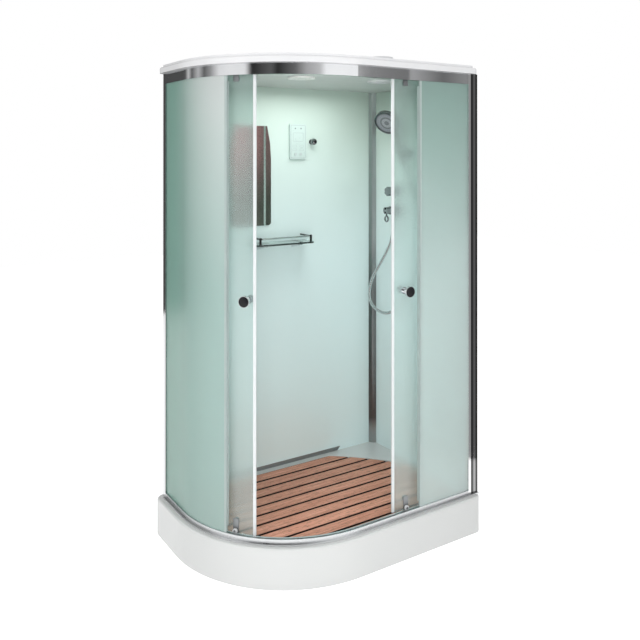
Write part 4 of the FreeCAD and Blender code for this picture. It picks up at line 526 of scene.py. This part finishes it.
# %% [markdown]
# The walls are back-painted glass-like sheets, pale mint. They are painted darker and greener up
# under the roof, as painted shade, and nearly white at the tray, as painted light, which the fade
# effect gives. A thin clear coat over them gives the high gloss of a sheet painted from behind.

# %% Wall sheets
made, tree, shader = finish("mint wall sheet", {"Coat Weight": 0.5, "Coat Roughness": 0.05})
# Low colour is painted light near the tray, High colour painted shade under the roof.
tone = use(tree, rise, Low=0.95, High=2.02,
           **{"Low colour": paint(234, 252, 252), "High colour": paint(196, 213, 203)})
marks = use(tree, drift, Scale=3.0, Low=0.12, High=0.2, Grain=60.0)
join(tree, shader, tone.outputs["Colour"], marks.outputs["Roughness"], marks.outputs["Height"],
     0.04, 0.0006)
dress(made, "back_wall_panel", "side_wall_panel")

# %% [markdown]
# The panes are 5 mm toughened glass with an etched face. Etching scatters the light that passes,
# so the shader is rough glass with some plain white in it for the scatter back to the eye. Fine
# etching is finer than a pixel, so it is roughness here, and the bump is the slow ripple that
# toughening leaves. Seen edge-on towards the back, the glass reads greener. The doors are clearer
# than the fixed panes. Each pane's colours up its height are painted light and shade, so each pane,
# the two fixed ones too, has its own colours as well as its own clearness.

# %% Etched panes
GREEN_FROM, GREEN_TO = 0.30, -0.08  # Y in metres: all back colour at the first, none at the second


def etched(name, low_colour, high_colour, back_colour, clear):
    """Etched glass: its colour low and high, which are painted light and shade, its colour towards
    the back, and how clear it is.
    """
    made, tree, shader = finish(name, {"IOR": 1.45, "Transmission Weight": clear})
    tone = use(tree, rise, Low=1.0, High=2.05,
               **{"Low colour": low_colour, "High colour": high_colour})
    spot = add(tree, "TexCoord")
    split = add(tree, "SeparateXYZ", {0: spot.outputs["Object"]})
    side = add(tree, "MapRange", {"Value": split.outputs["Y"], "From Min": GREEN_FROM,
                                  "From Max": GREEN_TO}, interpolation_type="SMOOTHSTEP")
    mixed = add(tree, "Mix", {0: side.outputs[0], 6: back_colour, 7: tone.outputs["Colour"]},
                data_type="RGBA")
    marks = use(tree, drift, Scale=5.0, Low=0.17, High=0.24, Grain=14.0)
    join(tree, shader, mixed.outputs[2], marks.outputs["Roughness"], marks.outputs["Height"],
         0.04, 0.0008)
    return made


# Each pane's low and high colours are painted light and shade.
fixed_pane = etched("etched fixed pane", paint(204, 230, 224), paint(250, 255, 254),
                    paint(160, 202, 189), 0.50)
door_pane = etched("etched door pane", paint(240, 254, 252), paint(206, 224, 220),
                   paint(228, 245, 241), 0.82)
right_pane = etched("etched right pane", paint(242, 255, 253), paint(192, 220, 213),
                    paint(196, 220, 214), 0.60)
dress(fixed_pane, "fixed_glass_left")
dress(right_pane, "fixed_glass_right")
dress(door_pane, "left_door_glass", "right_door_glass")

# %% [markdown]
# The shelf is clear float glass, whose iron gives it a slight green cast. Light passes through it
# almost whole, so the shader is nearly all transmission, and smudges help to show the glass.

# %% Clear glass
made, tree, shader = finish("clear shelf glass", {"IOR": 1.5, "Transmission Weight": 0.96})
marks = use(tree, drift, Colour=(0.80, 0.92, 0.88, 1), Second=(0.74, 0.89, 0.84, 1), Scale=9.0,
            Low=0.01, High=0.06, Grain=90.0)
join(tree, shader, marks.outputs["Colour"], marks.outputs["Roughness"], marks.outputs["Height"],
     0.02, 0.0002)
dress(made, "shelf_plate")

# %% [markdown]
# The mirror reads brown at its top and dark grey below, as painted reflection. A mirror shows what
# stands before it, which here is only a pale set, so the two tones are painted into its own colour.
# Its ground bevel catches the light as a paler strip near the right edge, a painted highlight, which
# a colour ramp draws.

# %% Mirror
BEVEL_HIGHLIGHT_ZONE = 0.060  # metres in from the right edge that the ramp covers
REFLECTION_RISE = 0.05  # metres above the lower edge, where the brown begins
mirror_low, mirror_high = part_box("mirror")
made, tree, shader = finish("mirror, painted reflection", {"Metallic": 1.0})
# The two tones are painted reflection.
tone = use(tree, rise, Low=mirror_low[2] + REFLECTION_RISE, High=mirror_high[2],
           **{"Low colour": (0.18, 0.16, 0.14, 1), "High colour": (0.65, 0.31, 0.32, 1)})
spot = add(tree, "TexCoord")
split = add(tree, "SeparateXYZ", {0: spot.outputs["Object"]})
# The pale strip near the right edge is a painted highlight.
across = add(tree, "MapRange", {"Value": split.outputs["X"],
                                "From Min": mirror_high[0] - BEVEL_HIGHLIGHT_ZONE,
                                "From Max": mirror_high[0]})
ramp = add(tree, "ValToRGB", {"Fac": across.outputs[0]})
steps(ramp.color_ramp, greys([(0.0, 0), (0.33, 0), (0.37, 1), (0.50, 1), (0.54, 0)]))
mixed = add(tree, "Mix", {0: ramp.outputs[0], 6: tone.outputs["Colour"],
                          7: (0.98, 0.96, 0.94, 1)}, data_type="RGBA")
marks = use(tree, drift, Scale=4.0, Low=0.12, High=0.16, Grain=12.0)
join(tree, shader, mixed.outputs[2], marks.outputs["Roughness"], marks.outputs["Height"],
     0.01, 0.00005)
dress(made, "mirror")

# %% [markdown]
# The seals are soft strips pushed over the free edges of the panes. The doors' seals are milky: they
# catch the light and read as bright upright lines, which a little scatter under the skin gives. The
# fixed panes' seals are clearer and take some transmission instead.

# %% Seals
dress(drifting("milky seal", paint(240, 243, 244), paint(228, 233, 235), 0.28, 0.42, scale=25,
               grain=900, strength=0.08, distance=0.0002,
               **{"Subsurface Weight": 0.2, "Subsurface Radius": (0.004, 0.004, 0.004),
                  "Subsurface Scale": 0.5}),
      "left_door_seals", "right_door_seals")
dress(drifting("clear seal", paint(236, 247, 245), paint(222, 236, 234), 0.15, 0.24, scale=25,
               grain=900, strength=0.05, distance=0.0002,
               **{"IOR": 1.45, "Transmission Weight": 0.55}), "fixed_glass_seals")

# %% [markdown]
# The hose's spiral shows as fine rings along its length, when seen from close by. Turning them in
# the mesh would take many thousands of faces. The mesh has kept the curve's texture coordinate,
# whose first number runs along the hose, so a wave on it gives the rings as a bump and as thin
# grooves painted darker, as painted shade.

# %% Hose finish
HOSE_RINGS = 330
made, tree, shader = finish("spiral hose", {"Metallic": 1.0})
spot = add(tree, "TexCoord")
split = add(tree, "SeparateXYZ", {0: spot.outputs["UV"]})
turns = add(tree, "Math", {0: split.outputs["X"], 1: HOSE_RINGS * 2 * math.pi},
            operation="MULTIPLY")
wave = add(tree, "Math", {0: turns.outputs[0]}, operation="SINE")
groove_shade = add(tree, "MapRange", {"Value": wave.outputs[0], "From Min": -1.0, "From Max": 0.2})
# The grooves' dark tone is painted shade.
tone = add(tree, "Mix", {0: groove_shade.outputs[0], 6: (0.34, 0.35, 0.36, 1),
                         7: (0.86, 0.87, 0.88, 1)}, data_type="RGBA")
marks = use(tree, drift, Scale=30.0, Low=0.14, High=0.26, Grain=200.0)
join(tree, shader, tone.outputs[2], marks.outputs["Roughness"], wave.outputs[0], 0.5, 0.0006)
hose.data.materials.append(made)

# %% [markdown]
# Small parts that the solids leave out are turned on a lathe in code: a profile of (radius, height)
# points is spun about an axis, as a real turned part is made. A profile of a few points keeps the
# mesh small, and a point on the axis closes it with a fan of triangles.

# %% A lathe
FACE_DEPTH = 0.0003  # metres within which a vertex counts as lying on a piece's outer face


def turned(name, profile, centre, axis, material, body, around=48):
    """A solid of revolution on a body; heights run along axis from centre."""
    mesh = bpy.data.meshes.new(name)
    made = bmesh.new()
    rows = []
    for radius, height in profile:
        if radius == 0:
            rows.append([made.verts.new((0, 0, height))])
        else:
            rows.append([made.verts.new((radius * math.cos(2 * math.pi * n / around),
                                         radius * math.sin(2 * math.pi * n / around), height))
                         for n in range(around)])
    for low, high in zip(rows, rows[1:]):
        for n in range(around):
            m = (n + 1) % around
            face = [low[n % len(low)], low[m % len(low)], high[m % len(high)], high[n % len(high)]]
            made.faces.new(list(dict.fromkeys(face)))
    made.normal_update()
    made.to_mesh(mesh)
    made.free()
    mesh.transform(Matrix.Translation(centre) @ Vector(axis).to_track_quat("Z", "Y").to_matrix()
                   .to_4x4())
    mesh.shade_smooth()
    mesh.materials.append(material)
    part = bpy.data.objects.new(name, mesh)
    bpy.context.scene.collection.objects.link(part)
    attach(part, body)


def outer_face(node, axis):
    """The middle of the node's face that lies furthest along axis."""
    places = [vertex.co for vertex in NODES[node].data.vertices]
    limit = max(place.dot(axis) for place in places) - FACE_DEPTH
    furthest = [place for place in places if place.dot(axis) > limit]
    return sum(furthest, Vector()) / len(furthest)


gloss_black = drifting("gloss black", (0.012, 0.012, 0.014, 1), (0.02, 0.02, 0.022, 1), 0.06,
                       0.14, scale=60, grain=400, strength=0.04, distance=0.0001,
                       **{"Specular IOR Level": 0.22})
print("lathe ready")

# %% [markdown]
# Each door knob is a chrome cup with a glossy black disc let into its face. The disc is a shallow
# dome, so that it catches one small highlight. The robe hook has a smaller one at its tip. Each is
# placed on the outer face of its own knob or hook, so it stays there if that piece is moved.

# %% Knob faces and the hook's button
KNOB_ANGLES = {"left": 39.3, "right": 88.0}  # where each knob faces, degrees from -X towards -Y
KNOB_DOME = [(0.0208, 0), (0.0208, 0.0004), (0.0198, 0.0009), (0.013, 0.0015), (0.006, 0.0018),
             (0, 0.0019)]
HOOK_DOME = [(0.008, -0.0012), (0.0075, 0.0002), (0.005, 0.0009), (0, 0.0012)]
for side, angle in KNOB_ANGLES.items():
    out = Vector((-math.cos(math.radians(angle)), -math.sin(math.radians(angle)), 0))
    middle = outer_face(f"{side}_door_knobs", out)
    turned(f"{side}_knob_face", KNOB_DOME, middle, out, gloss_black, f"{side}_door")
    print(side, "knob face at", [round(c, 3) for c in middle])
hook_tip = outer_face("robe_hook", Vector((0, -1, 0)))
turned("hook_button", HOOK_DOME, hook_tip, (0, -1, 0), gloss_black, "cabin")
print("hook button at", [round(c, 3) for c in hook_tip])

# %% [markdown]
# The control panel's face has a raised outline, two lamps at the top and faint key fields. They are
# shallow mouldings, so they are thin rounded frames just proud of the face: less than a millimetre,
# but enough to catch an edge of light, which a painted line would not.

# %% Panel details
panel_low, panel_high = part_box("control_panel")
PANEL_X = (panel_low[0] + panel_high[0]) / 2
PANEL_Z = (panel_low[2] + panel_high[2]) / 2
FACE_Y = panel_low[1]
SHARP = 0.0004  # the least corner radius of a frame's inner line, in metres
soft_grey = drifting("light grey print", paint(168, 182, 180), paint(152, 168, 166), 0.35, 0.5,
                     scale=60, grain=900, strength=0.05, distance=0.0001)
dark_lamp = drifting("smoked lamp", paint(140, 154, 153), paint(124, 138, 137), 0.12, 0.2,
                     scale=80, grain=900, strength=0.03, distance=0.0001)


def rounded(width, height, radius, around=6):
    """The points of a rounded rectangle about the origin."""
    points = []
    for turn, (sx, sz) in enumerate(((1, 1), (-1, 1), (-1, -1), (1, -1))):
        for n in range(around + 1):
            a = math.radians(90 * (turn + n / around))
            points.append((sx * (width / 2 - radius) + radius * math.cos(a),
                           sz * (height / 2 - radius) + radius * math.sin(a)))
    return points


def plate(name, middle, width, height, radius, rise_by, material, line=None, body="cabin"):
    """A plate raised by rise_by on the panel's face; with a line width, only its outline."""
    mesh = bpy.data.meshes.new(name)
    made = bmesh.new()
    rings = [(rounded(width, height, radius), 0.0), (rounded(width, height, radius), rise_by)]
    if line:
        inner = rounded(width - 2 * line, height - 2 * line, max(radius - line, SHARP))
        rings += [(inner, rise_by), (inner, 0.0)]
    rows = [[made.verts.new((middle[0] + x, FACE_Y - y, middle[1] + z)) for x, z in ring]
            for ring, y in rings]
    for low, high in zip(rows, rows[1:]):
        for n in range(len(low)):
            m = (n + 1) % len(low)
            made.faces.new((low[n], low[m], high[m], high[n]))
    if not line:
        made.faces.new(rows[-1])
    bmesh.ops.recalc_face_normals(made, faces=made.faces)
    made.to_mesh(mesh)
    made.free()
    mesh.materials.append(material)
    part = bpy.data.objects.new(name, mesh)
    bpy.context.scene.collection.objects.link(part)
    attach(part, body)


SCREEN_UP = 0.022
LAMPS_UP = 0.064
LAMPS_ASIDE = (-0.016, 0.016)
KEYS = ((-0.02, -0.022), (0.02, -0.022), (-0.02, -0.040), (0.02, -0.040))  # (aside, up)
plate("panel_outline", (PANEL_X, PANEL_Z), 0.083, 0.161, 0.006, 0.0005, soft_grey, line=0.0016)
plate("panel_screen", (PANEL_X, PANEL_Z + SCREEN_UP), 0.058, 0.042, 0.004, 0.0004, soft_grey,
      line=0.0012)
for n, aside in enumerate(LAMPS_ASIDE):
    plate(f"panel_lamp_{n}", (PANEL_X + aside, PANEL_Z + LAMPS_UP), 0.007, 0.007, 0.0034, 0.0008,
          dark_lamp)
for n, (aside, up) in enumerate(KEYS):
    plate(f"panel_key_{n}", (PANEL_X + aside, PANEL_Z + up), 0.022, 0.010, 0.002, 0.0004,
          soft_grey, line=0.0008)
print("panel details on y", round(FACE_Y, 4))

# %% [markdown]
# The hand shower's face is grey rubber with rings of nozzles. The face gets a ringed tone by its
# distance from its own axis, and the nozzles are small turned cones set in three circles. The face
# is slanted, so the distance is the length of a cross product with the axis, which holds in any
# direction.

# %% Spray face
HEAD_OUT = -Vector((0.7301, 0.353, 0.5851)).normalized()  # the way the face looks
FACE_RADIUS = 0.064
face_middle = outer_face("spray_face", HEAD_OUT)
made, tree, shader = finish("ringed rubber", {"Specular IOR Level": 0.4})
spot = add(tree, "TexCoord")
arm = add(tree, "VectorMath", {0: spot.outputs["Object"], 1: tuple(face_middle)},
          operation="SUBTRACT")
turn = add(tree, "VectorMath", {0: arm.outputs[0], 1: tuple(HEAD_OUT)}, operation="CROSS_PRODUCT")
away = add(tree, "VectorMath", {0: turn.outputs[0]}, operation="LENGTH")
share = add(tree, "MapRange", {"Value": away.outputs["Value"], "From Max": FACE_RADIUS})
ramp = add(tree, "ValToRGB", {"Fac": share.outputs[0]})
steps(ramp.color_ramp, [
    (0.0, paint(120, 124, 128)), (0.18, paint(110, 114, 118)), (0.22, paint(168, 172, 176)),
    (0.40, paint(150, 154, 158)), (0.44, paint(96, 100, 104)), (0.62, paint(150, 155, 160)),
    (0.80, paint(126, 131, 136)), (0.86, paint(60, 63, 66)), (1.0, paint(44, 46, 49))])
marks = use(tree, drift, Scale=40.0, Low=0.3, High=0.45, Grain=900.0)
join(tree, shader, ramp.outputs[0], marks.outputs["Roughness"], marks.outputs["Height"],
     0.1, 0.0002)
dress(made, "spray_face")

# %% Nozzles
NOZZLE_CIRCLES = ((0.018, 10), (0.030, 16), (0.042, 24))  # (radius, how many)
NOZZLE_CONE = [(0.0016, -0.0002), (0.0014, 0.0010), (0.0008, 0.0016), (0, 0.0016)]
nozzle_rubber = drifting("nozzle rubber", paint(84, 88, 92), paint(70, 74, 78), 0.4, 0.5, scale=60,
                         grain=1200, strength=0.05, distance=0.0001)
across = HEAD_OUT.orthogonal().normalized()
other = HEAD_OUT.cross(across)
nozzle_places = []
for radius, number in NOZZLE_CIRCLES:
    for n in range(number):
        a = 2 * math.pi * n / number
        nozzle_places.append(face_middle + radius * (math.cos(a) * across + math.sin(a) * other))
for n, place in enumerate(nozzle_places):
    turned(f"nozzle_{n}", NOZZLE_CONE, place, HEAD_OUT, nozzle_rubber, "hand_shower",
           around=8)
print(len(nozzle_places), "nozzles")

# %% [markdown]
# The set: a white background that only the camera, reflections and glass see, a plain pale floor,
# and light and dark cards that only reflections see. A white world strong enough to look white would
# wash the object out, so the light that falls on things is weaker than the white that is seen. A
# helper asks each ray which of the two it is.

# %% World
AMBIENT = 0.66  # the world's strength on the object, where 1 is the white that is seen
scene = bpy.context.scene
scene.view_settings.view_transform = "Standard"


def seen_directly(tree):
    """1 for a ray from the camera, a reflection or glass, and 0 for light that falls on things."""
    path = add(tree, "LightPath")
    seen = add(tree, "Math", {0: path.outputs["Is Camera Ray"], 1: path.outputs["Is Glossy Ray"]},
               operation="MAXIMUM")
    seen = add(tree, "Math", {0: seen.outputs[0], 1: path.outputs["Is Transmission Ray"]},
               operation="MAXIMUM")
    return seen.outputs[0]


world = bpy.data.worlds.new("studio")
scene.world = world
world.use_nodes = True
tree = world.node_tree
tree.nodes.clear()
strength = add(tree, "MapRange", {"Value": seen_directly(tree), "To Min": AMBIENT, "To Max": 1.0})
sky = add(tree, "Background", {"Color": (1, 1, 1, 1), "Strength": strength.outputs[0]})
tree.links.new(sky.outputs[0], add(tree, "OutputWorld").inputs[0])
print("world, ambient", AMBIENT)

# %% [markdown]
# The floor takes the object's shadow, so it is a plain matt surface. A little glow, for direct rays
# only, lifts it towards the white round it without lighting the object. Both are plain shaders, and
# the same holds for the cards, so a helper gives a material whose Principled shader is taken out.

# %% Floor
FLOOR_REACH = 9  # metres from its middle to an edge
FLOOR_DROP = 0.0005
FLOOR_GLOW = 0.56


def bare(name):
    """A material without a shader, its tree, and the socket that its surface takes."""
    made, tree, shader = finish(name)
    tree.nodes.remove(shader)
    return made, tree, tree.nodes["Material Output"].inputs[0]


floor_mesh = bpy.data.meshes.new("studio_floor")
made = bmesh.new()
bmesh.ops.create_grid(made, x_segments=2, y_segments=2, size=FLOOR_REACH)
made.to_mesh(floor_mesh)
made.free()
floor = bpy.data.objects.new("studio_floor", floor_mesh)
floor.location.z = -FLOOR_DROP
scene.collection.objects.link(floor)
pale, tree, surface = bare("pale floor")
soft = add(tree, "BsdfDiffuse", {"Color": (0.8, 0.8, 0.8, 1)})
lift = add(tree, "Math", {0: seen_directly(tree), 1: FLOOR_GLOW}, operation="MULTIPLY")
glow = add(tree, "Emission", {"Color": (1, 1, 1, 1), "Strength": lift.outputs[0]})
both = add(tree, "AddShader", {0: soft.outputs[0], 1: glow.outputs[0]})
tree.links.new(both.outputs[0], surface)
floor_mesh.materials.append(pale)
print("floor", 2 * FLOOR_REACH, "m wide, glow", FLOOR_GLOW)

# %% [markdown]
# Chrome needs something to show: with white on every side it would look like white plastic. A ring
# of light and dark cards stands round the object. Real cards would be many objects; here one round
# wall glows in greys that follow the angle, and only reflections see it.

# %% Cards for reflections
RING_RADIUS = 5.2
RING_TOP = 5.0
RING_SIDES = 96
CARDS = [(-180, 0.95), (-164, 0.95), (-158, 0.02), (-140, 0.12), (-134, 0.03), (-118, 0.16),
         (-108, 0.45), (-96, 0.62), (-90, 1.1), (-60, 1.1), (-57, 0.30), (-50, 0.16), (-44, 0.24),
         (-30, 0.5), (0, 0.75), (50, 0.5), (62, 0.08), (98, 0.05), (104, 0.5), (108, 0.06),
         (122, 0.10), (128, 0.6), (134, 0.12), (144, 0.55), (152, 0.14), (160, 0.35), (170, 0.9),
         (180, 0.95)]  # (degrees round from +X, level of grey)


def for_reflections(name, mesh):
    """An object of that mesh which only reflections see."""
    made = bpy.data.objects.new(name, mesh)
    scene.collection.objects.link(made)
    for flag in ("visible_camera", "visible_diffuse", "visible_transmission", "visible_shadow",
                 "visible_volume_scatter"):
        setattr(made, flag, False)
    return made


def glow_in_greys(tree, surface, share, stops):
    """Makes a surface glow in greys, by a share that runs from 0 to 1."""
    ramp = add(tree, "ValToRGB", {"Fac": share})
    steps(ramp.color_ramp, greys(stops))
    glow = add(tree, "Emission", {"Color": ramp.outputs[0], "Strength": 1.0})
    tree.links.new(glow.outputs[0], surface)


ring_mesh = bpy.data.meshes.new("card_ring")
made = bmesh.new()
rows = [[made.verts.new((RING_RADIUS * math.cos(2 * math.pi * n / RING_SIDES),
                         RING_RADIUS * math.sin(2 * math.pi * n / RING_SIDES), z))
         for n in range(RING_SIDES)] for z in (0.0, RING_TOP)]
for n in range(RING_SIDES):
    m = (n + 1) % RING_SIDES
    made.faces.new((rows[0][m], rows[0][n], rows[1][n], rows[1][m]))
made.to_mesh(ring_mesh)
made.free()
ring = for_reflections("card_ring", ring_mesh)
cards, tree, surface = bare("cards")
spot = add(tree, "TexCoord")
split = add(tree, "SeparateXYZ", {0: spot.outputs["Object"]})
turn = add(tree, "Math", {0: split.outputs["Y"], 1: split.outputs["X"]}, operation="ARCTAN2")
whole = add(tree, "MapRange", {"Value": turn.outputs[0], "From Min": -math.pi,
                               "From Max": math.pi})
glow_in_greys(tree, surface, whole.outputs[0],
              [((angle + 180) / 360, level) for angle, level in CARDS])
ring_mesh.materials.append(cards)
print(len(CARDS), "stops round the ring")

# %% [markdown]
# The right-hand column's face is flat, so it shows one narrow slice of the ring and would look
# plain. A narrow card with upright bands of its own stands on the floor close by and gives that
# face something to show.

# %% Card for the column
CARD_LEFT, CARD_RIGHT = (0.86, -1.16), (1.30, -0.74)
CARD_TOP = 2.5
CARD_BANDS = [(0.0, 0.45), (0.3, 0.16), (0.5, 0.30), (0.66, 0.14), (0.74, 0.70), (1.0, 0.75)]
card_mesh = bpy.data.meshes.new("column_card")
made = bmesh.new()
made.faces.new([made.verts.new(corner) for corner in (
    (*CARD_LEFT, 0), (*CARD_RIGHT, 0), (*CARD_RIGHT, CARD_TOP), (*CARD_LEFT, CARD_TOP))])
made.to_mesh(card_mesh)
made.free()
card = for_reflections("column_card", card_mesh)
dark, tree, surface = bare("dark card")
spot = add(tree, "TexCoord")
split = add(tree, "SeparateXYZ", {0: spot.outputs["Object"]})
whole = add(tree, "MapRange", {"Value": split.outputs["X"], "From Min": CARD_LEFT[0],
                               "From Max": CARD_RIGHT[0]})
glow_in_greys(tree, surface, whole.outputs[0], CARD_BANDS)
card_mesh.materials.append(dark)
print("column card, top at", CARD_TOP, "m")

# %% [markdown]
# Large soft lamps: a key from the front left above, a fill from the right, one behind, one level
# with the doorway that reaches the back wall, and a weak one under the ceiling. A large lamp gives
# soft shadows. Reflections and glass do not see the lamps, because a bright square in a pane or in
# chrome would look like a fault; the cards do that work.

# %% Lamps
def lamp(name, place, aim, size, power):
    """A square lamp of that size in metres and power in watts, turned to its aim."""
    made = bpy.data.objects.new(name, bpy.data.lights.new(name, "AREA"))
    made.data.shape = "SQUARE"
    made.data.size = size
    made.data.energy = power
    made.location = place
    made.rotation_euler = (Vector(aim) - Vector(place)).to_track_quat("-Z", "Y").to_euler()
    made.visible_glossy = False
    made.visible_transmission = False
    scene.collection.objects.link(made)


lamp("key", (-4.4, -2.9, 3.2), (0, -0.2, 1.0), 2.6, 38)
lamp("fill", (3.8, -2.8, 2.2), (0.3, 0, 1.0), 2.4, 12)
lamp("back", (-2.5, 3.5, 3.0), (0, 0, 1.2), 2.4, 24)
lamp("doorway", (-1.5, -2.7, 1.15), (0.05, 0.2, 0.65), 1.3, 30)
lamp("inside", (0.05, 0.0, 1.95), (0.05, 0.0, 0.0), 0.5, 3.5)

# %% [markdown]
# Last, the view layer is updated, since Blender knows a new object's size only after an update.

# %% Update
bpy.context.view_layer.update()
